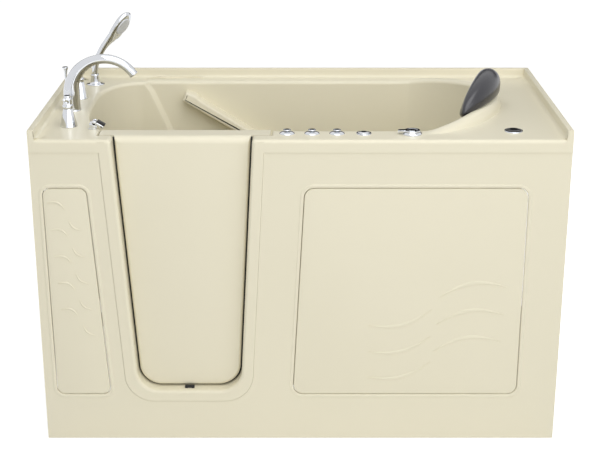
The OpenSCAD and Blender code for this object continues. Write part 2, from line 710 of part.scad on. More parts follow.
// Each section: centre, lean, half thickness, half width and twist
wand = [
  [[0, 0, 24], 0, stem_r - 0.4, stem_r - 0.4, 0],
  [[0, 0, 44], 0, 10, 10, 0],
  [[5, 0, 68], 14, 10, 10, 0],
  [[15, 0, 92], 24, 10.5, 10.5, 4],
  [[28, 0, 116], 30, 11, 12, 10],
  [[46, 0, 139], 34, 12, 17, 18],
  [head_at(0), head_lean, 14, 25, head_twist],
  [head_at(29), head_lean, 15, 30, head_twist],
  [head_at(55), head_lean, 14.5, 30, head_twist],
  [head_at(75), head_lean, 12.5, 25, head_twist],
  [head_at(88), head_lean, 8, 15, head_twist],
  [head_at(93), head_lean, 3, 6, head_twist]];
wand_sides = 24;
function wand_ring(w) =
  let (n = [cos(w[1]), 0, -sin(w[1])], y = [0, 1, 0], u = cos(w[4]) * n - sin(w[4]) * y,
       v = sin(w[4]) * n + cos(w[4]) * y)
  [for (j = [0:wand_sides - 1]) let (b = 360 * j / wand_sides) w[0] + w[2] * cos(b) * u + w[3] * sin(b) * v];
module at_head() {
  translate([cradle_at[0], cradle_at[1], deck_z] + head_at(45))
    rotate([0, 90 + head_lean, 0]) rotate([head_twist, 0, 0]) children();
}
module hand_shower() color(CHROME) at_front() {
  difference() {
    translate([cradle_at[0], cradle_at[1], deck_z]) {
      bar_z(-40, 30, 0, 0, stem_r);
      loft([for (w = wand) wand_ring(w)]);
    }
    at_head() block([-60, -50, face_at], [60, 50, face_at + 20]);
  }
}
module spray_face() color("white") at_front() {
  at_head() translate([0, 0, face_at]) linear_extrude(face_t)
    polygon([for (i = [0:35]) [29 * cos(10 * i), 22 * sin(10 * i)]]);
}
module supply_valves() color(BRASS) at_front() {
  for (p = [front_valve_at, rear_valve_at]) {
    difference() {
      union() {
        bar_z(deck_z - wall - 60, deck_z - wall, p[0], p[1], 16);
        bar_z(deck_z - wall - 1, deck_z - 0.5, p[0], p[1], 13.5);
      }
      bar_z(deck_z - wall - 55, deck_z + 1, p[0], p[1], valve_stem + slip);
    }
    bar_z(deck_z - 150, deck_z - wall - 60, p[0], p[1], 10.5);
  }
}
tube_r = 8;
module tube(a, b, r) {
  d = b - a;
  translate(a) rotate([0, acos(d[2] / norm(d)), atan2(d[1], d[0])]) cylinder(h = norm(d), r = r);
}
pipe_z = deck_z - 52;
function toward(a, b, d) = a + (b - a) * d / norm(b - a);
module run_between(p, q, gp, gq, z) {
  a = [p[0], p[1], z];
  b = [q[0], q[1], z];
  tube(toward(a, b, gp), toward(b, a, gq), tube_r);
}
module mixer_pipe() color(BRASS) at_front() {
  bar_z(pipe_z - 14, deck_z - 40, spout_at[0], spout_at[1], 14);
  run_between(front_valve_at, spout_at, 16 + seat_gap, 0, pipe_z);
  run_between(rear_valve_at, spout_at, 16 + seat_gap, 0, pipe_z);
}
module shower_pipe() color(PIPE) at_front() {
  z = pipe_z - 60;
  bend = [diverter_at[0] + 45, 400];
  bar_z(pipe_z - 70, deck_z - 60, cradle_at[0], cradle_at[1], 12);
  run_between(bend, cradle_at, 0, 0, z);
  run_between(diverter_at, bend, 0, 0, z);
  translate([bend[0], bend[1], z]) sphere(r = tube_r + 2);
  bar_z(pipe_z - 68, deck_z - 60 - slip, diverter_at[0], diverter_at[1], 9);
}

// Deck controls: bases let into the deck, with knobs, buttons and a lever
control_r = control_d / 2;
stem_hole = 4 + slip;
module control_base(p, profile) {
  translate([p[0], p[1], deck_z]) difference() {
    union() {
      rotate_extrude() polygon(profile);
      bar_z(-24, 0.5, 0, 0, stud_r);
      bar_z(-wall - 5, -wall, 0, 0, 13);
    }
    bar_z(-30, 20, 0, 0, stem_hole);
  }
}
function dish(r, h) = [[0, 0], [r, 0], [r, 1.2], [r - 0.8, h], [r - 4.7, h], [r - 4.7, 0.6], [0, 0.6]];
module control_bases() color(CHROME) at_front() {
  dome = [[0, 0], [control_r, 0], [control_r - 0.6, 1.5], [control_r - 4, 4], [control_r - 9, 6],
    [8, 7], [0, 7]];
  for (p = knob_at) control_base(p, dome);
  control_base(blower_at, dish(control_r, 3));
  control_base(pump_at, dish(27, 3));
  control_base(drain_lever_at, [[0, 0], [28, 0], [28, 2], [24, 8], [0, 8]]);
}
module air_knob(p) {
  translate([p[0], p[1], deck_z]) {
    bar_z(-14, 9, 0, 0, 4);
    rotate_extrude() polygon([[0, 7.3], [5.5, 7.3], [6.5, 9.3], [11, 9.5], [11.5, 10.5], [11, 12], [0, 12.4]]);
  }
}
module air_knob_1() color(CHROME) at_front() {
  air_knob(knob_at[0]);
}
module air_knob_2() color(CHROME) at_front() {
  air_knob(knob_at[1]);
}
module air_knob_3() color(CHROME) at_front() {
  air_knob(knob_at[2]);
}
module push_button(p, r) {
  translate([p[0], p[1], deck_z]) {
    bar_z(-14, 3.6, 0, 0, 4);
    rotate_extrude() polygon([[0, button_travel + 0.65], [r, button_travel + 0.65], [r - 0.5, 4.3],
      [r - 6, 6], [0, 6.8]]);
  }
}
module blower_button() color(CHROME) at_front() {
  push_button(blower_at, control_r - 5);
}
module pump_button() color(BLACK) at_front() {
  push_button(pump_at, 22);
}
module drain_lever() color(CHROME) at_front() {
  translate([drain_lever_at[0], drain_lever_at[1], deck_z]) {
    bar_z(-18, 9, 0, 0, 4);
    bar_z(8.3, 12.5, 0, 0, 23);
    translate([0, 0, 8.3]) linear_extrude(4.2)
      polygon([[0, -11], [0, 11], [-38, 7], [-41, 4], [-41, -4], [-38, -7]]);
    block([-41, -4, 4], [-37, 4, 9]);
  }
}

// Drain, overflow and waste pipe
drain_r = drain_bore / 2;
waste_z = base_top + 20;
cup_drop = 17;
module drain_body() color(CHROME) at_front() {
  translate([drain_at[0], drain_at[1], 0]) {
    difference() {
      union() {
        bar_z(floor_z, floor_z + 2, 0, 0, 30);
        bar_z(floor_z - 20, floor_z + 1, 0, 0, drain_r + 3.5);
        bar_z(floor_z - wall - 5, floor_z - wall, 0, 0, 32);
      }
      bar_z(floor_z - 30, floor_z + 5, 0, 0, drain_r);
    }
    difference() {
      union() {
        block([-drain_r - 1, -3, floor_z - 18], [drain_r + 1, 3, floor_z - 12]);
        bar_z(floor_z - 18, floor_z - 12, 0, 0, 6);
      }
      bar_z(floor_z - 20, floor_z - 10, 0, 0, 3 + slip);
    }
  }
}
module drain_stopper() color(CHROME) at_front() {
  translate([drain_at[0], drain_at[1], 0]) {
    bar_z(floor_z - 24, floor_z + 3, 0, 0, 3);
    rotate_extrude() polygon([[0, floor_z + 2.3], [22, floor_z + 2.3], [22, floor_z + 4], [12, floor_z + 7],
      [0, floor_z + 8]]);
  }
}
module overflow_cover() color(CHROME) at_front() {
  translate([overflow_at[0], basin_back, overflow_at[1]]) rotate([90, 0, 0]) difference() {
    union() {
      rotate_extrude() polygon([[0, 0], [30, 0], [36, 3], [36, 6], [30, 10], [0, 12]]);
      bar_z(-12, 1, 0, 0, overflow_hole - 0.3);
    }
    bar_z(-20, 5, 0, 0, overflow_hole - 3);
    for (a = [200, 270, 340]) rotate([0, 0, a]) block([8, -5, 3.6], [40, 5, 5.4]);
  }
}
module waste_pipe() color(PIPE) at_front() {
  difference() {
    union() {
      bar_z(waste_z - cup_drop, floor_z - wall - 6, drain_at[0], drain_at[1], drain_r + 7);
      bar_z(foot_h - 20, waste_z, drain_at[0], drain_at[1], 19.05);
      bar_y(drain_at[1], waste_y, drain_at[0], waste_z, 16);
      translate([drain_at[0], waste_y, waste_z]) sphere(r = 16);
      bar_z(waste_z, overflow_at[1], drain_at[0], waste_y, 16);
      translate([drain_at[0], waste_y, overflow_at[1]]) sphere(r = 16);
      bar_y(basin_back + wall, waste_y, overflow_at[0], overflow_at[1], 16);
    }
    bar_z(waste_z - 8, floor_z, drain_at[0], drain_at[1], drain_r + 3.5 + slip);
    bar_z(foot_h - 21, waste_z, drain_at[0], drain_at[1], 15);
    bar_y(basin_back, waste_y, overflow_at[0], overflow_at[1], overflow_hole - 0.3 + slip);
  }
}

// Suction fitting and pump
port_x = seat_x + 85;
module suction_cover() color(CHROME) at_front() {
  translate([seat_x, suction_y, pump_z]) rotate([0, -90, 0]) difference() {
    union() {
      rotate_extrude() polygon([[0, 0], [40, 0], [40, 4], [30, 9], [0, 10]]);
      bar_z(-22, 1, 0, 0, suction_hole - 0.3);
      bar_z(-wall - 6, -wall, 0, 0, 28);
    }
    bar_z(-30, 6, 0, 0, suction_hole - 4);
    for (k = [0:7]) rotate([0, 0, 45 * k]) translate([11, 0, 0]) bar_z(0, 12, 0, 0, 2.5);
  }
}
module suction_pipe() color(PIPE) at_front() {
  difference() {
    union() {
      bar_x(seat_x + wall + 6, seat_x + wall + 26, suction_y, pump_z, 25);
      bar_x(seat_x + wall + 20, port_x, suction_y, pump_z, 22);
    }
    bar_x(seat_x + wall, seat_x + wall + 18, suction_y, pump_z, suction_hole - 0.3 + slip);
    bar_x(seat_x + wall, port_x + 1, suction_y, pump_z, 17);
  }
}
outlet_x = port_x + 47;
outlet_z = pump_z + 95;
wet_x = port_x + 20;
motor_x = wet_x + 55;
motor_l = 185;
motor_r = 60;
fin_pitch = 14;
module pump_wet_end() color(BLACK) at_front() {
  bar_x(port_x, wet_x + 2, suction_y, pump_z, 24);
  bar_x(wet_x, motor_x, suction_y, pump_z, 72);
  bar_x(motor_x - 10, motor_x, suction_y, pump_z, 80);
  bar_z(pump_z, outlet_z, outlet_x, suction_y, 24);
  block([wet_x + 8, suction_y - 50, tray_z], [motor_x - 9, suction_y + 50, pump_z - 40]);
}
module pump_motor() color("#3f5a78") at_front() {
  bar_x(motor_x, motor_x + motor_l, suction_y, pump_z, motor_r);
  for (k = [0:11]) translate([motor_x + 15 + fin_pitch * k, 0, 0])
    bar_x(0, 4, suction_y, pump_z, motor_r + 6);
  bar_x(motor_x + motor_l, motor_x + motor_l + 26, suction_y, pump_z, motor_r - 4);
  translate([motor_x, suction_y, 0]) {
    block([35, -55, tray_z], [155, 55, tray_z + 5]);
    for (y = [-45, 35]) block([45, y, tray_z], [145, y + 10, pump_z - 30]);
    block([65, -30, pump_z + 50], [135, 30, pump_z + 82]);
  }
}
run_z = 450;
manifold_r = 14;
module discharge_pipe() color(PIPE) at_front() {
  bar_z(outlet_z, run_z, outlet_x, suction_y, 17);
  bar_z(outlet_z, outlet_z + 22, outlet_x, suction_y, 25);
  translate([outlet_x, suction_y, run_z]) sphere(r = 17);
  bar_y(suction_y, waste_y, outlet_x, run_z, 16);
  translate([outlet_x, waste_y, run_z]) sphere(r = 16);
  bar_z(run_z, manifold_z - 20, outlet_x, waste_y, 16);
}
manifold_end = max(jet_xs[3], outlet_x) + 18;
module water_manifold() color(PIPE) at_front() {
  bar_x(jet_xs[0] - 18, manifold_end, waste_y, manifold_z, manifold_r);
  for (x = [jet_xs[0] - 22, manifold_end - 6]) bar_x(x, x + 10, waste_y, manifold_z, manifold_r + 2);
  bar_z(manifold_z - 20, manifold_z, outlet_x, waste_y, manifold_r);
  for (x = jet_xs) bar_z(manifold_z, jet_z - 26, x, waste_y, 10);
}
nozzle_r = 17.95;
jet_nut_r = 28;
jet_nut_t = 6;
module jet_bodies() color(CHROME) at_front() {
  for (x = jet_xs) translate([x, basin_back, jet_z]) difference() {
    union() {
      rotate([90, 0, 0]) rotate_extrude() polygon([[0, 0], [32, 0], [31, 3], [22, 6], [0, 6]]);
      bar_y(-1, 16, 0, 0, jet_hole - 0.4);
      bar_y(wall, wall + jet_nut_t, 0, 0, jet_nut_r);
      bar_y(wall + jet_nut_t - 1, tub_w - basin_back - 39, 0, 0, 24);
      bar_z(-26, 0, 0, waste_y - basin_back, 10);
    }
    bar_y(-10, 11, 0, 0, nozzle_r + slip);
  }
}
module jet_nozzle(x) {
  translate([x, basin_back, jet_z]) difference() {
    union() {
      bar_y(-6, 10, 0, 0, nozzle_r);
      for (a = [0:60:300]) rotate([0, a, 0]) bar_y(-8, -5, 13, 0, 2.5);
    }
    translate([0, -9, 0]) rotate([-90, 0, 0]) cylinder(h = 17, r1 = 9, r2 = 5);
  }
}
module jet_nozzle_1() color(CHROME) at_front() {
  jet_nozzle(jet_xs[0]);
}
module jet_nozzle_2() color(CHROME) at_front() {
  jet_nozzle(jet_xs[1]);
}
module jet_nozzle_3() color(CHROME) at_front() {
  jet_nozzle(jet_xs[2]);
}
module jet_nozzle_4() color(CHROME) at_front() {
  jet_nozzle(jet_xs[3]);
}

// Air system under the seat, and the control box
air_z = seat_z - wall - 18;
air_r = 9;
blower_xy = [air_xs[2] + 20, air_ys[1]];
blower_r = 68;
blower_h = 109;
blower_top = tray_z + blower_h + 42;
module air_jets() color(CHROME) at_front() {
  for (x = air_xs, y = air_ys) difference() {
    union() {
      translate([x, y, seat_z]) rotate_extrude() polygon([[0, 0], [11, 0], [10, 2.5], [0, 3.5]]);
      bar_z(air_z + air_r, seat_z + 1, x, y, air_hole - 0.2);
    }
    bar_z(air_z, seat_z + 5, x, y, 1.5);
  }
}
module air_manifold() color(PIPE) at_front() {
  for (y = air_ys) {
    bar_x(air_xs[0] - 14, air_xs[3] + 12, y, air_z, air_r);
    for (x = air_xs) bar_z(air_z, air_z + air_r, x, y, 7);
  }
  bar_y(air_ys[0], air_ys[1], air_xs[1] + air_pitch / 2, air_z, air_r);
  bar_z(blower_top, air_z, blower_xy[0], blower_xy[1], 17);
}
module air_blower() color("#5b5f66") at_front() {
  bar_z(tray_z, tray_z + 6, blower_xy[0], blower_xy[1], blower_r - 8);
  bar_z(tray_z + 6, tray_z + blower_h, blower_xy[0], blower_xy[1], blower_r);
  translate([blower_xy[0], blower_xy[1], tray_z + blower_h])
    rotate_extrude() polygon([[0, 0], [blower_r, 0], [blower_r - 8, 14], [22, 20], [0, 20]]);
  bar_z(tray_z + blower_h + 15, blower_top, blower_xy[0], blower_xy[1], 20);
}
box_size = [140, 90, 249];
box_at = [half_l - 35 - box_size[0], 140, tray_z];
box_lid = 12;
module control_box() color("#d7d9da") at_front() {
  translate(box_at) {
    cube(box_size);
    block([-4, -4, box_size[2] - box_lid / 2], [box_size[0] + 4, box_size[1] + 4, box_size[2] + box_lid / 2]);
    for (y = [25, 65]) bar_x(-16, 1, y, 39, 9);
  }
}

tub_shell();
front_apron();
left_access_panel();
right_access_panel();
panel_catches();
base_frame();
upper_frame();
seat_frame();
basin_bearers();
levelling_feet();
equipment_tray();
door_outer_panel();
door_inner_panel();
door_seal();
door_rest_block();
hinge_frame_leaves();
hinge_door_leaves();
hinge_pins();
latch_bracket();
latch_lever();
latch_grip();
headrest_pillow();
valve_escutcheons();
front_valve_handle();
rear_valve_handle();
spout();
diverter_body();
diverter_rod();
shower_cradle();
hand_shower();
spray_face();
supply_valves();
mixer_pipe();
shower_pipe();
control_bases();
air_knob_1();
air_knob_2();
air_knob_3();
blower_button();
pump_button();
drain_lever();
drain_body();
drain_stopper();
overflow_cover();
waste_pipe();
suction_cover();
suction_pipe();
pump_wet_end();
pump_motor();
discharge_pipe();
water_manifold();
jet_bodies();
jet_nozzle_1();
jet_nozzle_2();
jet_nozzle_3();
jet_nozzle_4();
air_jets();
air_manifold();
air_blower();
control_box();
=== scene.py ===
"""Looks of a walk-in jetted bathtub: moulded shell and door, filler, hand shower, controls and headrest.

Sizes in the classes are millimetres: x from the tub's middle, y back from its front face, z up from the floor.
"""

import logging
import math
from dataclasses import dataclass, field
from enum import Enum
from typing import Iterable, Sequence

import bmesh
import bpy
from bmesh.types import BMEdge, BMesh, BMVert
from mathutils import Matrix, Vector


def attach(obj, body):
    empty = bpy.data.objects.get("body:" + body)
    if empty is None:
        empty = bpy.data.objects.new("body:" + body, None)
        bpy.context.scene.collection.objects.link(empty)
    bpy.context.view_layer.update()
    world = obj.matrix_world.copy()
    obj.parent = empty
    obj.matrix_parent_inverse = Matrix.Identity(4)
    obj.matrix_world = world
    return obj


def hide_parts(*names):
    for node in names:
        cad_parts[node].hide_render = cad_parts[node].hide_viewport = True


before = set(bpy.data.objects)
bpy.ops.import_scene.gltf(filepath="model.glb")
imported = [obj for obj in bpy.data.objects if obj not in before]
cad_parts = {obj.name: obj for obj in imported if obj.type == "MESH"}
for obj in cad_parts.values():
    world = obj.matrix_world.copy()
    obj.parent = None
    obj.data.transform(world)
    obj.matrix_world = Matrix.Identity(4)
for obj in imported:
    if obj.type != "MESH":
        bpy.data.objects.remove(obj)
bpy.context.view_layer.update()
LOG = logging.getLogger("tub")
MM = 0.001
Flat = tuple[float, float]
Solid = tuple[float, float, float]


# Sizes shared by the classes
@dataclass(frozen=True)
class TubSizes:
    """Main sizes of the tub in mm."""

    half_l: float = 762.0
    width: float = 787.0
    deck: float = 936.0
    rim_top: float = 966.0
    rim_t: float = 18.0
    wall: float = 6.0
    lip: float = 900.0
    floor: float = 125.0
    seat: float = 560.0
    seat_x: float = 55.0
    basin_front: float = 105.0
    basin_back: float = 712.0
    basin_left: float = -637.0
    basin_right: float = 572.0
    head_l: float = 215.0
    head_w: float = 296.0
    scoop_step: float = 14.0
    sill: float = 160.0
    door_left: float = -531.0
    door_right: float = -135.0
    taper_left: float = 47.0
    taper_right: float = 40.0
    door_r: float = 68.0
    # The sides' taper is measured to this far below the start of the lower corners
    taper_below: float = 21.0

    def door_x(self, z: float, right: bool) -> float:
        """Reads one of the doorway's side lines.

        Args:
            z: height.
            right: whether it is the right side.

        Returns:
            The line's x at that height.
        """
        fall = (self.deck - z) / (self.deck - self.sill - self.door_r + self.taper_below)
        if right:
            return self.door_right - self.taper_right * fall
        return self.door_left + self.taper_left * fall

    def door_line(self, left: float, right: float, bottom: float, top: float, across: int = 0) -> list[Flat]:
        """Outline of the doorway, grown outwards.

        Args:
            left: growth of the left side.
            right: growth of the right side.
            bottom: growth of the bottom.
            top: height at which both sides end.
            across: number of points laid along the top edge.

        Returns:
            Points (x, z) down the left side, round the bottom and up the right side.
        """
        low = self.sill - bottom
        radius = self.door_r + (left + right) / 4
        knee = low + radius
        sides, arc = 16, 16
        line: list[Flat] = []
        for i in range(sides, -1, -1):
            z = knee + (top - knee) * i / sides
            line.append((self.door_x(z, False) - left, z))
        centre = self.door_x(knee, False) - left + radius
        for i in range(1, arc + 1):
            a = math.pi + math.pi / 2 * i / arc
            line.append((centre + radius * math.cos(a), knee + radius * math.sin(a)))
        centre = self.door_x(knee, True) + right - radius
        for i in range(arc):
            a = 1.5 * math.pi + math.pi / 2 * i / arc
            line.append((centre + radius * math.cos(a), knee + radius * math.sin(a)))
        for i in range(sides + 1):
            z = knee + (top - knee) * i / sides
            line.append((self.door_x(z, True) + right, z))
        x0, x1 = line[0][0], line[-1][0]
        line += [(x1 + (x0 - x1) * (i + 1) / (across + 1), top) for i in range(across)]
        return line


TUB = TubSizes()


def at(x: float, y: float, z: float) -> Vector:
    """Returns a point given in mm from the tub's front face as metres in the part's frame."""
    return Vector((x * MM, (y - TUB.width / 2) * MM, z * MM))


def signed_power(value: float, power: float) -> float:
    """Returns value to a power, with its sign kept."""
    return math.copysign(abs(value) ** power, value)


def smooth(t: float) -> float:
    """Returns a soft step from 0 to 1."""
    t = min(1.0, max(0.0, t))
    return t * t * (3 - 2 * t)


def mix(a: float, b: float, t: float) -> float:
    """Returns the value between a and b at t."""
    return a + (b - a) * t


def table(rows: Sequence[Sequence[float]], key: float) -> list[float]:
    """Reads a table of rows sorted by their first value, between its rows.

    Args:
        rows: rows of numbers, the first of each its key.
        key: where to read, also past the table's ends.

    Returns:
        The other numbers of the row at that key.
    """
    spot = 0
    while spot < len(rows) - 2 and key > rows[spot + 1][0]:
        spot += 1
    low, high = rows[spot], rows[spot + 1]
    t = (key - low[0]) / (high[0] - low[0])
    return [mix(a, b, t) for a, b in zip(low[1:], high[1:])]


def bend(start: Vector, corner: Vector, end: Vector, t: float) -> Vector:
    """Returns the point at t on the soft curve round a corner."""
    return start * (1 - t) ** 2 + corner * 2 * t * (1 - t) + end * t * t


def rounded(line: Sequence[Flat], radius: float, steps: int = 4) -> list[Flat]:
    """Rounds the inner corners of an open profile.

    Args:
        line: profile points (r, z).
        radius: largest distance from a corner at which its round starts.
        steps: points in each round.

    Returns:
        The profile with a curve in place of each inner corner.
    """
    out: list[Flat] = [line[0]]
    for before, corner, after in zip(line, line[1:], line[2:]):
        c = Vector(corner)
        u, w = Vector(before) - c, Vector(after) - c
        cut = min(radius, u.length * 0.45, w.length * 0.45)
        a, b = c + u.normalized() * cut, c + w.normalized() * cut
        for i in range(steps + 1):
            out.append(tuple(bend(a, c, b, i / steps)))
    out.append(line[-1])
    return out


def round_outline(line: Sequence[Flat], radius: float, grow: float, steps: int = 8) -> list[Flat]:
    """Outline with round corners, grown outwards.

    Args:
        line: corners of a convex outline, in turn.
        radius: corner radius before growing.
        grow: distance by which the outline grows.
        steps: points in each corner.

    Returns:
        Points of the closed outline.
    """
    out: list[Flat] = []
    count = len(line)
    for i, corner in enumerate(line):
        c = Vector(corner)
        u = (Vector(line[i - 1]) - c).normalized()
        w = (Vector(line[(i + 1) % count]) - c).normalized()
        half = math.acos(max(-1.0, min(1.0, u.dot(w)))) / 2
        m = (u + w).normalized()
        r = radius + grow
        tip = c - m * grow / math.sin(half)
        centre = tip + m * r / math.sin(half)
        start = tip + u * r / math.tan(half) - centre
        turn = math.pi - 2 * half
        side = 1.0 if u.cross(w) < 0 else -1.0
        for k in range(steps + 1):
            a = side * turn * k / steps
            out.append((
                centre.x + start.x * math.cos(a) - start.y * math.sin(a),
                centre.y + start.x * math.sin(a) + start.y * math.cos(a),
            ))
    return out


# Mesh building
class Skin:
    """A surface grown outline by outline by extruding its open edge."""

    def __init__(self, points: Sequence[Vector], closed: bool = True) -> None:
        """Starts the surface at its first outline.

        Args:
            points: the outline's points.
            closed: whether the outline returns to its start.
        """
        self.bm: BMesh = bmesh.new()
        self.closed = closed
        self.ring: list[BMVert] = [self.bm.verts.new(p) for p in points]
        pairs = list(zip(self.ring, self.ring[1:] + self.ring[:1]))
        self.edges: list[BMEdge] = [self.bm.edges.new(p) for p in (pairs if closed else pairs[:-1])]
        self.start: list[BMEdge] = list(self.edges)

    def grow(self, points: Sequence[Vector]) -> "Skin":
        """Extrudes the open edge and moves it to the next outline.

        Args:
            points: the next outline, with as many points as the first.

        Returns:
            The surface itself.
        """
        made = bmesh.ops.extrude_edge_only(self.bm, edges=self.edges)["geom"]
        fresh = {g for g in made if isinstance(g, BMVert)}
        ring: list[BMVert] = []
        for vert, point in zip(self.ring, points):
            twin = next(e.other_vert(vert) for e in vert.link_edges if e.other_vert(vert) in fresh)
            twin.co = point
            ring.append(twin)
        pairs = list(zip(ring, ring[1:] + ring[:1]))
        self.edges = [self.bm.edges.get(p) for p in (pairs if self.closed else pairs[:-1])]
        self.ring = ring
        return self

    def close_end(self) -> "Skin":
        """Fills the open edge with one face."""
        bmesh.ops.contextual_create(self.bm, geom=self.edges)
        return self

    def close_start(self) -> "Skin":
        """Fills the first outline with one face."""
        bmesh.ops.contextual_create(self.bm, geom=self.start)
        return self

    def outward(self) -> BMesh:
        """Turns the faces of the closed surface outwards and returns its mesh."""
        bmesh.ops.recalc_face_normals(self.bm, faces=self.bm.faces)
        return self.bm


def grown(outlines: Iterable[Sequence[Vector]]) -> Skin:
    """Grows a surface through outlines.

    Args:
        outlines: rows of as many points each, in metres.

    Returns:
        The surface, open at its last outline.
    """
    first, *others = outlines
    skin = Skin(first)
    for outline in others:
        skin.grow(outline)
    return skin


def capped(outlines: Iterable[Sequence[Vector]]) -> BMesh:
    """Grows a closed surface through outlines and fills both its ends."""
    return grown(outlines).close_start().close_end().outward()


def soften(bm: BMesh, edges: Sequence[BMEdge], radius: float, segments: int) -> BMesh:
    """Rounds edges by a radius in mm and returns the mesh."""
    bmesh.ops.bevel(bm, geom=edges, offset=radius * MM, offset_type="OFFSET", segments=segments, profile=0.5,
                    affect="EDGES", material=-1)
    return bm


def edges_at(bm: BMesh, y: float) -> list[BMEdge]:
    """Returns the edges that lie in the upright plane at a depth."""
    return [e for e in bm.edges if all(abs(v.co.y - at(0, y, 0).y) < 1e-6 for v in e.verts)]


def revolve(profile: Sequence[Flat], centre: Vector, steps: int = 56) -> BMesh:
    """Turns a profile (radius, height) in mm about an upright axis.

    Args:
        profile: points from the axis round to the axis again.
        centre: foot of the axis, in metres.
        steps: number of steps in the full turn.

    Returns:
        The closed surface.
    """
    bm = bmesh.new()
    verts = [bm.verts.new(centre + Vector((r * MM, 0, z * MM))) for r, z in profile]
    edges = [bm.edges.new(p) for p in zip(verts, verts[1:])]
    bmesh.ops.spin(bm, geom=verts + edges, cent=centre, axis=(0, 0, 1), angle=2 * math.pi, steps=steps,
                   use_merge=True, use_normal_flip=False)
    bmesh.ops.remove_doubles(bm, verts=bm.verts, dist=1e-6)
    bmesh.ops.recalc_face_normals(bm, faces=bm.faces)
    return bm


def tube(points: Sequence[Vector], radii: Sequence[float], sides: int = 24, up: Solid = (0, 1, 0)) -> BMesh:
    """Round bar along a path in the plane square to up, with closed ends.

    Args:
        points: the path, in metres.
        radii: the bar's radius at each point, in mm.
        sides: points round the bar.
        up: direction that stays across the bar.

    Returns:
        The closed surface.
    """
    cross = Vector(up)
    rings: list[list[Vector]] = []
    for i, point in enumerate(points):
        along = (points[min(i + 1, len(points) - 1)] - points[max(i - 1, 0)]).normalized()
        side = along.cross(cross).normalized()
        rings.append([
            point + (side * math.cos(a) + cross * math.sin(a)) * radii[i] * MM
            for a in (2 * math.pi * k / sides for k in range(sides))
        ])
    return capped(rings)


def soft_box(low: Solid, high: Solid, radius: float, segments: int = 3) -> BMesh:
    """Block between two corners with rounded edges.

    Args:
        low: lowest corner in mm.
        high: highest corner in mm.
        radius: radius of its edges in mm.
        segments: faces across each round.

    Returns:
        The closed surface.
    """
    bm = bmesh.new()
    a, b = at(*low), at(*high)
    size = b - a
    bmesh.ops.create_cube(bm, size=1.0, matrix=Matrix.Translation((a + b) / 2) @ Matrix.Diagonal((*size, 1.0)))
    return soften(bm, bm.edges[:], radius, segments)


def bar(start: Vector, end: Vector, radius: float, soft: float = 1.0, sides: int = 32) -> BMesh:
    """Straight round bar with softened ends.

    Args:
        start: centre of one end, in metres.
        end: centre of the other end.
        radius: radius in mm.
        soft: round at both ends in mm.
        sides: points round the bar.

    Returns:
        The closed surface.
    """
    length = (end - start).length / MM
    bm = revolve(rounded([(0, 0), (radius, 0), (radius, length), (0, length)], soft), Vector(), sides)
    turn = Vector((0, 0, 1)).rotation_difference((end - start).normalized()).to_matrix().to_4x4()
    bmesh.ops.transform(bm, verts=bm.verts, matrix=Matrix.Translation(start) @ turn)
    return bm


def merged(parts: Iterable[BMesh]) -> BMesh:
    """Joins several meshes into one.

    Args:
        parts: the meshes, which are freed.

    Returns:
        The joined mesh.
    """
    whole = bmesh.new()
    for part in parts:
        mesh = bpy.data.meshes.new("part")
        part.to_mesh(mesh)
        part.free()
        whole.from_mesh(mesh)
        bpy.data.meshes.remove(mesh)
    return whole


# Finishes
def hex_colour(code: str) -> tuple[float, float, float, float]:
    """Turns an sRGB hex colour into a linear one.

    Args:
        code: the colour as #RRGGBB.

    Returns:
        Red, green, blue and full opacity.
    """
    values = [int(code[i:i + 2], 16) / 255 for i in (1, 3, 5)]
    linear = [v / 12.92 if v <= 0.04045 else ((v + 0.055) / 1.055) ** 2.4 for v in values]
    return (*linear, 1.0)


def add_node(tree: bpy.types.NodeTree, kind: str, settings: dict | None = None,
             links: dict | None = None) -> bpy.types.Node:
    """Adds a node with its settings and links.

    Args:
        tree: the node tree.
        kind: the node's type.
        settings: values by property name or input name.
        links: output sockets by input name or index.

    Returns:
        The new node.
    """
    node = tree.nodes.new(kind)
    for key, value in (settings or {}).items():
        if isinstance(key, str) and hasattr(node, key):
            setattr(node, key, value)
        else:
            node.inputs[key].default_value = value
    for key, socket in (links or {}).items():
        tree.links.new(socket, node.inputs[key])
    return node


def new_material(name: str) -> tuple[bpy.types.Material, bpy.types.NodeTree, bpy.types.Node]:
    """Makes a material from nodes.

    Args:
        name: the material's name.

    Returns:
        The material, its tree and its shader.
    """
    made = bpy.data.materials.new(name)
    made.use_nodes = True
    return made, made.node_tree, made.node_tree.nodes["Principled BSDF"]


def two_tones(tree: bpy.types.NodeTree, share: bpy.types.NodeSocket, colours: Sequence[str]) -> None:
    """Blends two colours into the shader's base colour.

    Args:
        tree: the material's tree.
        share: socket with the second colour's share.
        colours: the two colours in sRGB hex.
    """
    blend = add_node(tree, "ShaderNodeMix", {"data_type": "RGBA"}, {0: share})
    for spot, code in zip((6, 7), colours):
        blend.inputs[spot].default_value = hex_colour(code)
    tree.links.new(blend.outputs[2], tree.nodes["Principled BSDF"].inputs["Base Color"])


def seen_directly(tree: bpy.types.NodeTree) -> tuple[bpy.types.Node, bpy.types.NodeSocket]:
    """Adds a test for rays from the camera and in reflections.

    Args:
        tree: the node tree.

    Returns:
        The light path node, and the socket that is 1 for those rays.
    """
    path = add_node(tree, "ShaderNodeLightPath")
    seen = add_node(tree, "ShaderNodeMath", {"operation": "MAXIMUM"},
                    {0: path.outputs["Is Camera Ray"], 1: path.outputs["Is Glossy Ray"]})
    return path, seen.outputs[0]


class Pattern(Enum):
    """What varies over a finish."""

    CLOUD = "soft cloudy change of colour"
    SPANGLE = "zinc crystals"
    GRAIN = "wood grain"
    STRAND = "chopped glass strands"
    HAMMER = "hammered enamel"
    SKIN = "fine leather-like skin"


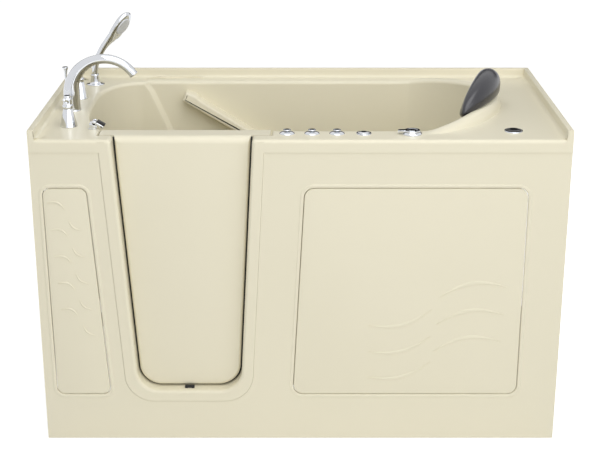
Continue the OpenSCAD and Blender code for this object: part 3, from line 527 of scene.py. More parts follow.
@dataclass(frozen=True)
class Finish:
    """One material with its procedural pattern; scales are in mm, slot is not used."""

    name: str
    colour: str
    second: str
    roughness: float
    pattern: Pattern = Pattern.CLOUD
    pattern_mm: float = 120.0
    bump_mm: float = 2.0
    bump_depth: float = 0.02
    rough_swing: float = 0.04
    metallic: float = 0.0
    coat: float = 0.0
    coat_roughness: float = 0.05
    ior: float = 1.5
    specular: float = 0.5
    slot: str = ""

    def _field(self, tree: bpy.types.NodeTree, coords: bpy.types.NodeSocket) -> bpy.types.NodeSocket:
        """Builds the pattern's value from 0 to 1.

        Args:
            tree: the material's tree.
            coords: object coordinates in metres.

        Returns:
            The socket that carries the value.
        """
        per_m = 1000.0 / self.pattern_mm
        if self.pattern is Pattern.SPANGLE:
            return add_node(tree, "ShaderNodeTexVoronoi", {"Scale": per_m},
                            {"Vector": coords}).outputs["Color"]
        if self.pattern is Pattern.GRAIN:
            slim = add_node(tree, "ShaderNodeMapping", {"Scale": (per_m, per_m * 0.06, per_m)},
                            {"Vector": coords})
            return add_node(tree, "ShaderNodeTexNoise", {"Scale": 1.0, "Detail": 4.0, "Distortion": 0.6},
                            {"Vector": slim.outputs[0]}).outputs["Fac"]
        if self.pattern is Pattern.STRAND:
            slim = per_m * 0.08
            lays = (((per_m, slim, per_m), (0.3, 0.2, 0.7)), ((slim, per_m, per_m), (0.2, 0.5, 0.4)))
            turned = [add_node(tree, "ShaderNodeMapping", {"Scale": scale, "Rotation": turn},
                               {"Vector": coords}) for scale, turn in lays]
            fibres = [add_node(tree, "ShaderNodeTexNoise", {"Scale": 1.0, "Detail": 3.0},
                               {"Vector": lay.outputs[0]}) for lay in turned]
            return add_node(tree, "ShaderNodeMath", {"operation": "MAXIMUM"},
                            {0: fibres[0].outputs["Fac"], 1: fibres[1].outputs["Fac"]}).outputs[0]
        if self.pattern in (Pattern.HAMMER, Pattern.SKIN):
            return add_node(tree, "ShaderNodeTexVoronoi", {"feature": "SMOOTH_F1", "Scale": per_m},
                            {"Vector": coords}).outputs["Distance"]
        return add_node(tree, "ShaderNodeTexNoise", {"Scale": per_m, "Detail": 2.0, "Roughness": 0.4},
                        {"Vector": coords}).outputs["Fac"]

    def material(self) -> bpy.types.Material:
        """Builds this finish's material on its first call.

        Returns:
            The material.
        """
        known = bpy.data.materials.get(self.name)
        if known:
            return known
        made, tree, shader = new_material(self.name)
        settings = {"Metallic": self.metallic, "Coat Weight": self.coat, "Coat Roughness": self.coat_roughness}
        if self.metallic < 0.5:
            settings |= {"IOR": self.ior, "Specular IOR Level": self.specular}
        for key, value in settings.items():
            shader.inputs[key].default_value = value
        coords = add_node(tree, "ShaderNodeTexCoord").outputs["Object"]
        field_value = self._field(tree, coords)
        two_tones(tree, field_value, (self.colour, self.second))
        fine = add_node(tree, "ShaderNodeTexNoise", {"Scale": 1000.0 / self.bump_mm, "Detail": 2.0},
                        {"Vector": coords})
        span = add_node(tree, "ShaderNodeMapRange",
                        {"To Min": max(0.02, self.roughness - self.rough_swing),
                         "To Max": self.roughness + self.rough_swing}, {"Value": field_value})
        tree.links.new(span.outputs[0], shader.inputs["Roughness"])
        relief = fine.outputs["Fac"]
        if self.pattern in (Pattern.HAMMER, Pattern.SKIN, Pattern.STRAND, Pattern.GRAIN):
            relief = field_value
        bump = add_node(tree, "ShaderNodeBump", {"Strength": 1.0, "Distance": self.bump_depth * MM},
                        {"Height": relief})
        tree.links.new(bump.outputs[0], shader.inputs["Normal"])
        return made


# Sprayed and vacuum-formed sheet: satin gloss, a clear soft highlight, hardly any tooth
ACRYLIC = Finish("cast acrylic, cream gloss", "#E2DCC6", "#E0DAC3", 0.3, pattern_mm=260, bump_mm=6,
                 bump_depth=0.012, rough_swing=0.03, coat=0.06, coat_roughness=0.12, ior=1.49,
                 specular=0.22, slot="acrylic")
# Chopped strand laid in resin behind the sheet: dull, fibrous, yellower than the face
BACKING = Finish("sprayed glass fibre, raw", "#CDBF97", "#B9A878", 0.6, Pattern.STRAND, 1.8, bump_depth=0.5,
                 slot="acrylic")
# Nickel and chrome over brass, buffed: mirror with a cool cast
CHROME = Finish("chromium plate, polished", "#DADCE0", "#D3D6DB", 0.05, pattern_mm=40, bump_mm=9,
                bump_depth=0.004, rough_swing=0.02, metallic=1.0, slot="chrome")
# Skinned polyurethane gel: near black, broad soft shine, fine moulded skin
GEL = Finish("skinned gel foam, charcoal", "#2E2E34", "#27272C", 0.3, Pattern.SKIN, 1.4, bump_depth=0.03,
             coat=0.25, coat_roughness=0.2, slot="gel_pad")
# Hot-dip zinc on box tube: grey crystals a fingertip wide
ZINC = Finish("box steel, hot-dip zinc", "#A4A9AD", "#8C9297", 0.42, Pattern.SPANGLE, 11, bump_mm=5,
              bump_depth=0.03, rough_swing=0.08, metallic=1.0)
# Extruded PVC pipe: white, slight sheen, faint cloud
PVC = Finish("extruded pvc pipe, white", "#ECEAE4", "#E4E1D8", 0.34, pattern_mm=45, bump_mm=1.5)
# Moulded ABS with spark-eroded texture: black satin
BLACK_ABS = Finish("moulded abs, black satin", "#1D1D20", "#232327", 0.36, pattern_mm=30, bump_mm=0.7,
                   bump_depth=0.03, slot="black_plastic")
# Black gloss for the pump button's cap: a painted reflection, its black standing in for the dark surroundings
# reflected in the button's chrome top
PAINTED_REFLECTION_BLACK = Finish("black gloss, painted dark reflection", "#111114", "#17171A", 0.12, pattern_mm=25, bump_mm=3,
                     bump_depth=0.004, slot="black_plastic")
# Nitrile strip: matt black, dusty highlight
RUBBER = Finish("nitrile rubber, matt", "#1A1A1C", "#232325", 0.66, pattern_mm=18, bump_mm=0.9,
                bump_depth=0.05, slot="seal_rubber")
# Turned and cast brass: warm, dull shine
BRASS = Finish("cast brass, tumbled", "#B8954F", "#A78243", 0.3, pattern_mm=14, bump_mm=1.2,
               bump_depth=0.03, rough_swing=0.08, metallic=1.0)
# Birch plywood strips under the basin: long pale grain
PLYWOOD = Finish("birch plywood, bare", "#CDAE7E", "#B28E5C", 0.7, Pattern.GRAIN, 7, bump_depth=0.12)
# Hammer enamel on the motor's cast fins: blue, dimpled
ENAMEL = Finish("hammer enamel, blue", "#3F5A78", "#34506E", 0.36, Pattern.HAMMER, 4, bump_depth=0.15)
# Injection-moulded housings
WHITE_ABS = Finish("moulded abs, white", "#EEEDE8", "#E6E4DD", 0.3, pattern_mm=40, bump_mm=0.9,
                   bump_depth=0.02)
GREY_ABS = Finish("moulded abs, mid grey", "#5B5F66", "#52565D", 0.45, pattern_mm=40, bump_mm=0.8,
                  bump_depth=0.04)
# Silicone spray plate: pale grey-white, soft sheen
SILICONE = Finish("silicone plate, pale grey", "#D9DADB", "#CFD1D3", 0.4, pattern_mm=20, bump_mm=1.2,
                  bump_depth=0.02, slot="white_plastic")


# Making pieces
def helper(bm: BMesh, name: str) -> bpy.types.Object:
    """Turns a mesh into a plain object of the scene.

    Args:
        bm: the mesh, which is freed.
        name: the object's name.

    Returns:
        The object.
    """
    mesh = bpy.data.meshes.new(name)
    bm.to_mesh(mesh)
    bm.free()
    obj = bpy.data.objects.new(name, mesh)
    bpy.context.scene.collection.objects.link(obj)
    return obj


def piece(bm: BMesh, name: str, body: str, finish: Finish, stands_for: str,
          crease: float = 35.0) -> bpy.types.Object:
    """Makes a mesh a finished piece that rides on a body and stands for a CAD node."""
    return dress_piece(helper(bm, name), body, (finish,), stands_for, crease)


def dress_piece(obj: bpy.types.Object, body: str, finishes: Sequence[Finish], stands_for: str,
                crease: float = 35.0) -> bpy.types.Object:
    """Gives an object its finishes, its body and the node that it stands for.

    Args:
        obj: the object.
        body: the body that it rides on.
        finishes: its materials, in slot order.
        stands_for: CAD node that it replaces.
        crease: angle in degrees above which an edge stays sharp.

    Returns:
        The same object.
    """
    for finish in finishes:
        obj.data.materials.append(finish.material())
    obj.data.shade_smooth()
    obj.data.set_sharp_from_angle(angle=math.radians(crease))
    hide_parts(stands_for)
    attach(obj, body)
    LOG.info("%s: %d faces on %s", obj.name, len(obj.data.polygons), body)
    return obj


def dress_nodes(finish: Finish, names: Sequence[str]) -> None:
    """Gives a procedural finish to CAD nodes whose shape stays.

    Args:
        finish: the finish.
        names: the nodes.
    """
    for name in names:
        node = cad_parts[name]
        if not node.material_slots:
            node.data.materials.append(None)
        for spot in node.material_slots:
            spot.material = finish.material()
        LOG.info("%s: %s", name, finish.name)


def apply_modifiers(obj: bpy.types.Object, tools: Sequence[bpy.types.Object]) -> None:
    """Applies an object's modifiers to its mesh.

    Args:
        obj: the object.
        tools: objects that the modifiers read, which are removed.
    """
    bpy.context.view_layer.update()
    graph = bpy.context.evaluated_depsgraph_get()
    final = bpy.data.meshes.new_from_object(obj.evaluated_get(graph))
    obj.modifiers.clear()
    old = obj.data
    obj.data = final
    bpy.data.meshes.remove(old)
    for tool in tools:
        bpy.data.objects.remove(tool)


def slab(line: Sequence[Flat], y0: float, y1: float) -> BMesh:
    """Upright slab: an outline in the front plane between two depths."""
    return capped([at(x, y, z) for x, z in line] for y in (y0, y1))


# Moulded shell
class Side(Enum):
    """Stretches of the basin outline, in turn."""

    FRONT = 0
    FRONT_RIGHT = 1
    RIGHT = 2
    BACK_RIGHT = 3
    BACK = 4
    BACK_LEFT = 5
    LEFT = 6
    FRONT_LEFT = 7


Place = tuple[Side, float]


@dataclass(frozen=True)
class Outline:
    """One closed basin outline: straight sides with a swept curve at each corner."""

    x0: float
    x1: float
    y0: float
    y1: float
    right: Flat
    back_left: Flat
    front_left: Flat
    power: float = 1.5

    def corner(self, centre: Flat, radii: Flat, start: float, t: float, power: float) -> Flat:
        """Reads a swept corner.

        Args:
            centre: its centre.
            radii: its two radii.
            start: angle in degrees at which it starts.
            t: place on it, from 0 to 1.
            power: how full it is; 2 gives an ellipse.

        Returns:
            The point (x, y).
        """
        a = math.radians(start + 90 * t)
        return (centre[0] + radii[0] * signed_power(math.cos(a), 2 / power),
                centre[1] + radii[1] * signed_power(math.sin(a), 2 / power))

    def point(self, side: Side, t: float, back: float) -> Flat:
        """Returns a point of the outline.

        Args:
            side: the stretch.
            t: place along it, from 0 to 1.
            back: depth of the left part of the back wall.

        Returns:
            The point (x, y).
        """
        x0, x1, y0, y1, r = self.x0, self.x1, self.y0, self.y1, self.right
        if side is Side.FRONT:
            return (mix(x0 + self.front_left[0], x1 - r[0], t), y0)
        if side is Side.FRONT_RIGHT:
            return self.corner((x1 - r[0], y0 + r[1]), r, 270, t, self.power)
        if side is Side.RIGHT:
            return (x1, mix(y0 + r[1], y1 - r[1], t))
        if side is Side.BACK_RIGHT:
            return self.corner((x1 - r[0], y1 - r[1]), r, 0, t, self.power)
        if side is Side.BACK:
            return (mix(x1 - r[0], x0 + self.back_left[0], t), y1)
        if side is Side.BACK_LEFT:
            return self.corner((x0 + self.back_left[0], back - self.back_left[1]), self.back_left, 90, t, 2)
        if side is Side.LEFT:
            return (x0, mix(back - self.back_left[1], y0 + self.front_left[1], t))
        return self.corner((x0 + self.front_left[0], y0 + self.front_left[1]), self.front_left, 180, t, 2)


@dataclass
class MouldedShell:
    """Deck, tile rim, basin, headrest collar and door frame in one moulding."""

    edge_r: float = 12.0
    front_r: float = 10.0
    collar_w: float = 45.0
    collar_h: float = 44.0
    # Where the collar's slope starts, the half length of the bend there, and how far past the basin it ends
    collar_x: float = 357.0
    collar_bend: float = 20.0
    collar_past: float = 11.0
    ridge_half: float = 10.0
    seat_r: float = 16.0
    above: float = 1020.0
    collar_power: float = 3.4
    front_left_r: Flat = (95.0, 290.0)
    back_left_r: Flat = (120.0, 203.0)
    ridge_bend: Flat = (-434.0, 779.0)
    ridge_lean: Flat = (0.4395, 0.4643)
    ridge_span: Flat = (0.72, 0.88)
    seat_round: Flat = (524.0, 596.0)
    foot_draft: Flat = (62.0, 36.5)
    floor_r: float = 24.0
    foot_r: float = 56.0
    foot_back_left_r: Flat = (110.0, 170.0)
    foot_front_left_r: Flat = (85.0, 230.0)
    # Share of the footwell's right side that each of its two corners takes
    foot_arc: float = 88 / 652
    frame_grow: Solid = (38.0, 35.0, 35.0)
    pocket_grow: Solid = (45.0, 56.0, 26.0)
    pocket_y: Flat = (49.0, 168.0)
    pocket_wall: float = 6.0
    walls_end: float = 102.0
    drain: Flat = (-300.0, 420.0)
    drain_r: float = 22.0
    jets_x: Sequence[float] = (-150.0, 0.0, 150.0, 300.0)
    jet_z: float = 690.0
    jet_bore: float = 22.0
    overflow: Flat = (-300.0, 700.0)
    overflow_bore: float = 13.5
    suction: Flat = (230.0, 190.0)
    suction_bore: float = 20.0
    # Last point of the front's round and of the rim's inner face, and how far each later one is drawn in
    knee: int = 8
    pull: float = 20 / 3
    # Height above the floor: left draft, right draft, inset of the front and back, cut of the corners
    upper: Sequence[Sequence[float]] = (
        (560, 40, 78, 3, 42), (590, 33, 67, 0, 38), (620, 29, 57, 0, 36), (690, 22, 42, 0, 27),
        (760, 15, 27, 0, 18), (850, 7, 12, 0, 9), (936, 0, 0, 0, 0), (1020, -3, -12, 0, 0))
    counts: dict[Side, int] = field(default_factory=lambda: {
        Side.FRONT: 48, Side.FRONT_RIGHT: 32, Side.RIGHT: 2, Side.BACK_RIGHT: 32, Side.BACK: 80,
        Side.BACK_LEFT: 28, Side.LEFT: 8, Side.FRONT_LEFT: 24})

    def upper_outline(self, z: float) -> Outline:
        """Basin outline above the seat.

        Args:
            z: its height.

        Returns:
            The outline.
        """
        left, right, inset, cut = table(self.upper, z)
        (back_x, back_y), (front_x, front_y) = self.back_left_r, self.front_left_r
        return Outline(
            TUB.basin_left + left, TUB.basin_right - right, TUB.basin_front + inset, TUB.basin_back - inset,
            (TUB.head_l - cut, TUB.head_w - cut), (back_x - cut * 0.8, back_y - cut),
            (front_x - cut / 2, front_y - cut))

    def foot_outline(self, z: float, inset: float = 0.0) -> Outline:
        """Footwell outline.

        Args:
            z: its height.
            inset: how far it is drawn in.

        Returns:
            The outline.
        """
        low = TUB.floor + self.floor_r
        draft = mix(*self.foot_draft, (z - low) / (TUB.seat - low))
        r = self.foot_r - inset * 0.66
        (back_x, back_y), (front_x, front_y) = self.foot_back_left_r, self.foot_front_left_r
        return Outline(
            TUB.basin_left + draft + inset, TUB.seat_x - inset,
            TUB.basin_front + 1 + inset, TUB.basin_back - draft / 2 - inset,
            (r, r), (back_x - inset * 0.5, back_y - inset), (front_x - inset * 0.5, front_y - inset),
            power=2.0)

    def ridge_x(self, z: float) -> float:
        """Returns where the scoop's ridge runs on the back wall at a height."""
        x, knee = self.ridge_bend
        return x - self.ridge_lean[0 if z > knee else 1] * (z - knee)

    def upper_point(self, side: Side, t: float, z: float) -> Flat:
        """Point of the upper wall, with the scoop's ridge on the back.

        Args:
            side: the stretch.
            t: place along it, from 0 to 1.
            z: height.

        Returns:
            The point (x, y).
        """
        outline = self.upper_outline(z)
        scoop = outline.y1 - TUB.scoop_step
        if side is not Side.BACK:
            return outline.point(side, t, scoop)
        start, end = outline.x1 - outline.right[0], outline.x0 + outline.back_left[0]
        ridge = max(self.ridge_x(z), end + self.ridge_half + 2)
        near, far = self.ridge_span
        if t < near:
            x = mix(start, ridge + self.ridge_half, t / near)
        elif t < far:
            x = mix(ridge + self.ridge_half, ridge - self.ridge_half, (t - near) / (far - near))
        else:
            x = mix(ridge - self.ridge_half, end, (t - far) / (1 - far))
        step = smooth((ridge + self.ridge_half - x) / (2 * self.ridge_half))
        return (x, outline.y1 - TUB.scoop_step * step)

    def rise(self, x: float, share: float) -> float:
        """Height of the collar.

        Args:
            x: where it is read.
            share: share of the collar's slope that is climbed there.

        Returns:
            The height over the deck.
        """
        u, half = x - self.collar_x, self.collar_bend
        if u < half:
            u = max(0.0, u + half) ** 2 / (4 * half)
        return self.collar_h * u / (TUB.basin_right + self.collar_past - self.collar_x) * share

    def outer_point(self, side: Side, t: float) -> tuple[Flat, Flat]:
        """Point of the tub's outer rectangle for a sample.

        Args:
            side: the sample's stretch.
            t: its place on the stretch.

        Returns:
            The point (x, y), and the way inwards from it.
        """
        h, w, start = TUB.half_l, TUB.width, TUB.basin_right - TUB.head_l
        end, corner = TUB.basin_left + self.back_left_r[0], TUB.basin_left + self.front_left_r[0]
        inner = h - TUB.rim_t
        y_low, y_high = TUB.basin_front + TUB.head_w, TUB.basin_back - TUB.head_w
        left_low = TUB.basin_front + self.front_left_r[1]
        left_high = TUB.basin_back - TUB.scoop_step - self.back_left_r[1]
        if side is Side.FRONT:
            return (mix(corner, start, t), 0.0), (0, 1)
        if side is Side.FRONT_RIGHT:
            steps = self.counts[side]
            if t < 0.5:
                return (mix(start, inner, t * steps / (steps / 2 - 1)), 0.0), (0, 1)
            return (h, mix(0, y_low, t * 2 - 1)), (-1, 0)
        if side is Side.RIGHT:
            return (h, mix(y_low, y_high, t)), (-1, 0)
        if side is Side.BACK_RIGHT:
            if t == 0.5:
                return (h, w), (-1, -1)
            if t < 0.5:
                return (h, mix(y_high, w, t * 2)), (-1, 0)
            return (mix(h, start, t * 2 - 1), w), (0, -1)
        if side is Side.BACK:
            return (mix(start, end, t), w), (0, -1)
        if side is Side.BACK_LEFT:
            if t == 0.5:
                return (-h, w), (1, -1)
            if t < 0.5:
                return (mix(end, -h, t * 2), w), (0, -1)
            return (-h, mix(w, left_high, t * 2 - 1)), (1, 0)
        if side is Side.LEFT:
            return (-h, mix(left_high, left_low, t)), (1, 0)
        if t <= 0.5:
            return (-h, mix(left_low, 0, t * 2)), (1, 0)
        steps = self.counts[side]
        share = (t * steps - steps / 2 - 1) / (steps / 2 - 1)
        return (mix(-inner, corner, share), 0.0), (0, 1)

    def rim_path(self) -> list[Flat]:
        """Returns distance inwards and height over the tile rim, from its skirt to the deck."""
        top, deck = TUB.rim_top, TUB.deck
        return [(0, TUB.lip), (0, TUB.lip + 30), (0, top - 4), (1.2, top - 1.2), (4, top), (13, top),
                (16.6, top - 1.4), (18, top - 5), (18, deck + 10), (19.3, deck + 5), (22.9, deck + 1.3),
                (28, deck)]

    def front_path(self) -> list[Flat]:
        """Returns depth and height over the front lip and its round, from its lower edge to the deck."""
        r = self.front_r
        turns = (math.radians(18 * k) for k in range(6))
        arc = [(r - r * math.cos(a), TUB.deck - r + r * math.sin(a)) for a in turns]
        below = [(0, TUB.lip + up) for up in (0, 8, 17)]
        return [*below, *arc, *((depth, TUB.deck) for depth in (14, 20, 28))]

    def outer_path(self, side: Side, t: float) -> list[Solid]:
        """Path of one sample from the skirt's lower edge to the start of the deck.

        Args:
            side: the sample's stretch.
            t: its place on the stretch.

        Returns:
            Points in mm.
        """
        (x, y), (ix, iy) = self.outer_point(side, t)
        path: list[Solid] = []
        if iy == 1:
            at_rim = abs(x) > TUB.half_l - TUB.rim_t - 0.01
            for k, (depth, z) in enumerate(self.front_path()):
                past = k - self.knee
                if at_rim and past > 0:
                    path.append((x + math.copysign(past * self.pull, -x), self.front_r + past * 16 / 3, z))
                else:
                    path.append((x, depth, z))
            return path
        for k, (q, z) in enumerate(self.rim_path()):
            lean = max(0, k - self.knee) * self.pull if y == 0 else 0
            path.append((x + ix * q, y + iy * q + lean, z))
        return path

    def foot_target(self, order: float) -> tuple[Side, float]:
        """Returns where a sample right of the seat's edge lands on the footwell's right side.

        Args:
            order: place from 0 at the front corner to 1 at the back corner.

        Returns:
            The stretch of the footwell and the place on it.
        """
        arc = self.foot_arc
        if order < arc:
            return Side.FRONT_RIGHT, order / arc
        if order > 1 - arc:
            return Side.BACK_RIGHT, (order - 1 + arc) / arc
        return Side.RIGHT, (order - arc) / (1 - 2 * arc)

    def foot_targets(self, samples: Sequence[Place], edge: Sequence[Vector]) -> list[Place]:
        """Works out where every sample of the basin lands on the footwell's outline.

        Args:
            samples: stretch and place along it of each sample.
            edge: its point on the basin's edge.

        Returns:
            Stretch and place on the footwell; samples over the seat share the footwell's right side.
        """
        ends = (Side.FRONT_RIGHT, Side.RIGHT, Side.BACK_RIGHT)
        over_seat = [i for i, (side, _) in enumerate(samples)
                     if side in ends or (side in (Side.FRONT, Side.BACK) and edge[i].x > -1)]
        first, last = over_seat[0], over_seat[-1]
        front, back = self.counts[Side.FRONT], self.counts[Side.BACK]
        begin = last - sum(self.counts[side] for side in (Side.FRONT, *ends))
        targets: list[Place] = []
        for i, (side, t) in enumerate(samples):
            if first <= i <= last:
                targets.append(self.foot_target((i - first) / (last - first)))
            elif side is Side.FRONT:
                targets.append((side, t / (first / front)))
            elif side is Side.BACK:
                targets.append((side, (t * back - begin) / (back - begin)))
            else:
                targets.append((side, t))
        return targets

    def deck_path(self, start: Solid, edge: Vector, out: Vector) -> list[Solid]:
        """Path of one sample over the deck, up the collar and round the basin's edge.

        Args:
            start: where the rim or the front's round ends.
            edge: the sample's point on the basin's edge.
            out: the way outwards there.

        Returns:
            Points in mm.
        """
        foot = edge + out * self.collar_w
        path = [(mix(start[0], foot.x, k / 6), mix(start[1], foot.y, k / 6), TUB.deck) for k in range(1, 6)]
        for d in (0, 1, 2.2, 4, 6.5, 10, 14, 19, 24, 29, 33):
            p = edge + out * (self.collar_w - d)
            share = 1 - (1 - d / self.collar_w) ** self.collar_power
            path.append((p.x, p.y, TUB.deck + self.rise(p.x, share)))
        top = TUB.deck + self.rise(edge.x, 1.0)
        for k in range(1, 7):
            a = math.pi / 2 * k / 6
            p = edge + out * self.edge_r * (1 - math.sin(a))
            path.append((p.x, p.y, top - self.edge_r * (1 - math.cos(a))))
        return path

    def wall_path(self, side: Side, t: float, top: float) -> list[Solid]:
        """Returns the points of one sample down the basin's wall from a height to the seat's round."""
        heights = [mix(top, self.seat_round[1], k / 16) for k in range(1, 17)]
        return [(*self.upper_point(side, t, z), z) for z in heights]

    def foot_path(self, side: Side, t: float, target: Place) -> list[Solid]:
        """Path of one sample over the seat and down the footwell to the drain.

        Args:
            side: the sample's stretch.
            t: its place on the stretch.
            target: the stretch and the place of the footwell on which it lands.

        Returns:
            Points in mm.
        """
        def foot(z: float, inset: float = 0.0) -> Vector:
            """Returns the sample's footwell point at a height."""
            outline = self.foot_outline(z, inset)
            return Vector((*outline.point(*target, outline.y1), z))

        below, above = self.seat_round
        top = Vector((*self.upper_point(side, t, above), above))
        low = foot(below)
        wall, lip = Vector((top.x, top.y, TUB.seat)), foot(TUB.seat)
        across = lip - wall
        gap = across.length
        r = min(self.seat_r, gap / 2)
        way = across.normalized() if gap > 1e-6 else Vector((0, 0, 0))
        up, near, far = Vector((0, 0, r)), wall + way * r, lip - way * r
        turn = [bend(wall + up, wall, near, k / 7) for k in range(8)]
        turn += [near.lerp(far, k / 6) for k in range(1, 6)]
        turn += [bend(far, lip, lip - up, k / 7) for k in range(8)]
        share = smooth(gap / 60)
        path = [top.lerp(low, k / (len(turn) + 1)).lerp(p, share) for k, p in enumerate(turn, 1)]
        path.append(low)
        bottom = TUB.floor + self.floor_r
        path += [foot(mix(below, bottom, k / 9)) for k in range(1, 10)]
        for k in range(1, 6):
            a = math.pi / 2 * k / 5
            path.append(foot(bottom - self.floor_r * math.sin(a), self.floor_r * (1 - math.cos(a))))
        last = path[-1]
        spoke = (Vector((last.x, last.y)) - Vector(self.drain)).normalized()
        hole = Vector((*(Vector(self.drain) + spoke * self.drain_r), TUB.floor))
        path += [last.lerp(hole, k / 5) for k in range(1, 6)]
        return [tuple(p) for p in path]

    def rings(self) -> list[list[Vector]]:
        """Works out the shell's outlines from the skirt over the rim and deck down to the drain.

        Returns:
            Outlines of equal length, in metres.
        """
        samples = [(side, k / count) for side, count in self.counts.items() for k in range(count)]
        edge = [Vector(self.upper_point(side, t, TUB.deck)) for side, t in samples]
        targets = self.foot_targets(samples, edge)
        paths: list[list[Vector]] = []
        for i, (side, t) in enumerate(samples):
            along = (edge[(i + 1) % len(edge)] - edge[i - 1]).normalized()
            straight = side is Side.BACK or (side, t) == (Side.BACK_LEFT, 0)
            out = Vector((0, 1)) if straight else Vector((along.y, -along.x))
            outer = self.outer_path(side, t)
            top = TUB.deck + self.rise(edge[i].x, 1.0) - self.edge_r
            path = (*outer, *self.deck_path(outer[-1], edge[i], out), *self.wall_path(side, t, top),
                    *self.foot_path(side, t, targets[i]))
            paths.append([at(*p) for p in path])
        return [list(ring) for ring in zip(*paths)]

    def shouldered(self, grow: Solid, top: float, r: float, steps: int) -> list[Flat]:
        """Outline of the doorway, open upwards between two round shoulders.

        Args:
            grow: growth on the left, right and bottom.
            top: height of the shoulders' tops.
            r: their radius.
            steps: points on each of them.

        Returns:
            Points (x, z), which end above the rim.
        """
        base = TUB.door_line(*grow, top - r)
        left, right = base[0][0] - r, base[-1][0] + r
        turns = (math.radians(90 * k / steps) for k in range(1, steps + 1))
        arc = [(r * math.cos(a), top - r + r * math.sin(a)) for a in turns]
        return [(left, self.above), *((left + x, z) for x, z in reversed(arc)), *base,
                *((right - x, z) for x, z in arc), (right, self.above)]

    def door_cutter(self) -> BMesh:
        """Returns the doorway's cutter, flared at the front face and at the deck."""
        r = self.front_r
        outlines: list[list[Vector]] = []
        for y in (-4, 0, 0.3, 1.2, 2.9, 5, 7.4, r, 30, 52):
            inner = min(r, max(0.0, y))
            flare = r - math.sqrt(r * r - (r - inner) ** 2)
            line = self.shouldered((flare, flare, flare), TUB.deck - flare, r, 6)
            outlines.append([at(x, y, z) for x, z in line])
        return capped(outlines)

    def pocket_cutter(self) -> BMesh:
        """Returns the cutter of the pocket in which the door's flange lies."""
        return slab(self.shouldered(self.pocket_grow, TUB.deck, 5.0, 5), *self.pocket_y)

    def pocket_walls(self) -> BMesh:
        """Returns the block from which the pocket's walls are left."""
        grow = [side + self.pocket_wall for side in self.pocket_grow]
        line = TUB.door_line(*grow, TUB.deck - 4)
        return slab(line, self.pocket_y[0] - self.pocket_wall, self.walls_end)

    def surround(self) -> BMesh:
        """Returns the block of the door frame round the doorway."""
        steps = [(0.0, 50.0), (0.0, 3.0), (0.35, 1.7), (1.1, 0.8), (2.4, 0.22), (4.2, 0.06)]
        outlines: list[list[Vector]] = []
        for cut, y in steps:
            line = TUB.door_line(*(side - cut for side in self.frame_grow), TUB.deck - 4)
            outlines.append([at(x, y, z) for x, z in line])
        return capped(outlines)

    def holes(self) -> BMesh:
        """Returns the bores for jets, overflow and suction."""
        soft, behind = 0.1, 730
        (over_x, over_z), (suck_y, suck_z) = self.overflow, self.suction
        parts = [bar(at(x, 690, self.jet_z), at(x, behind, self.jet_z), self.jet_bore, soft)
                 for x in self.jets_x]
        parts.append(bar(at(over_x, 680, over_z), at(over_x, behind, over_z), self.overflow_bore, soft))
        low, high = TUB.seat_x - 20, TUB.seat_x + 20
        parts.append(bar(at(low, suck_y, suck_z), at(high, suck_y, suck_z), self.suction_bore, soft))
        return merged(parts)

    def ledge(self) -> BMesh:
        """Returns the slanted arm ledge on the back wall."""
        line = [(-387, 882), (-226, 784), (-90, 706), (-62, 700), (-62, 712), (-160, 778), (-328, 884),
                (-338, 896), (-374, 909)]
        front, back = 660, TUB.basin_back + 4
        bm = slab(rounded([line[-1], *line, line[0]], 5, 3)[1:-1], front, back)
        soften(bm, edges_at(bm, front), 9, 5)
        bmesh.ops.remove_doubles(bm, verts=bm.verts, dist=0.4 * MM)
        bmesh.ops.recalc_face_normals(bm, faces=bm.faces)
        return bm

    def build(self) -> None:
        """Builds the shell, cuts its openings and dresses it."""
        bm = grown(self.rings()).bm
        bmesh.ops.remove_doubles(bm, verts=bm.verts, dist=1e-7)
        bmesh.ops.recalc_face_normals(bm, faces=bm.faces)
        bm.faces.ensure_lookup_table()
        deck = max(bm.faces, key=lambda f: f.calc_area() if f.calc_center_median().z > 0.935 else 0)
        if deck.normal.z < 0:
            bmesh.ops.reverse_faces(bm, faces=bm.faces)
        obj = helper(bm, "moulded_shell")
        thick = obj.modifiers.new("wall", "SOLIDIFY")
        thick.thickness = TUB.wall * MM
        thick.offset = -1.0
        thick.use_even_offset = False
        thick.use_quality_normals = True
        thick.material_offset = 1
        thick.material_offset_rim = 0
        for finish in (ACRYLIC, BACKING):
            obj.data.materials.append(finish.material())
        tools = [
            (helper(self.surround(), "frame_block"), "UNION"),
            (helper(self.pocket_walls(), "pocket_block"), "UNION"),
            (helper(self.door_cutter(), "door_cutter"), "DIFFERENCE"),
            (helper(self.pocket_cutter(), "pocket_cutter"), "DIFFERENCE"),
            (helper(self.holes(), "bores"), "DIFFERENCE"),
        ]
        for tool, operation in tools:
            tool.data.materials.append(ACRYLIC.material())
            cut = obj.modifiers.new(tool.name, "BOOLEAN")
            cut.operation = operation
            cut.solver = "EXACT"
            cut.object = tool
        apply_modifiers(obj, [tool for tool, _ in tools])
        obj.data.materials.clear()
        dress_piece(obj, "root", (ACRYLIC, BACKING), "tub_shell", crease=32)
        normals = obj.modifiers.new("normals", "WEIGHTED_NORMAL")
        normals.keep_sharp = True
        piece(self.ledge(), "arm_ledge", "root", ACRYLIC, "tub_shell")


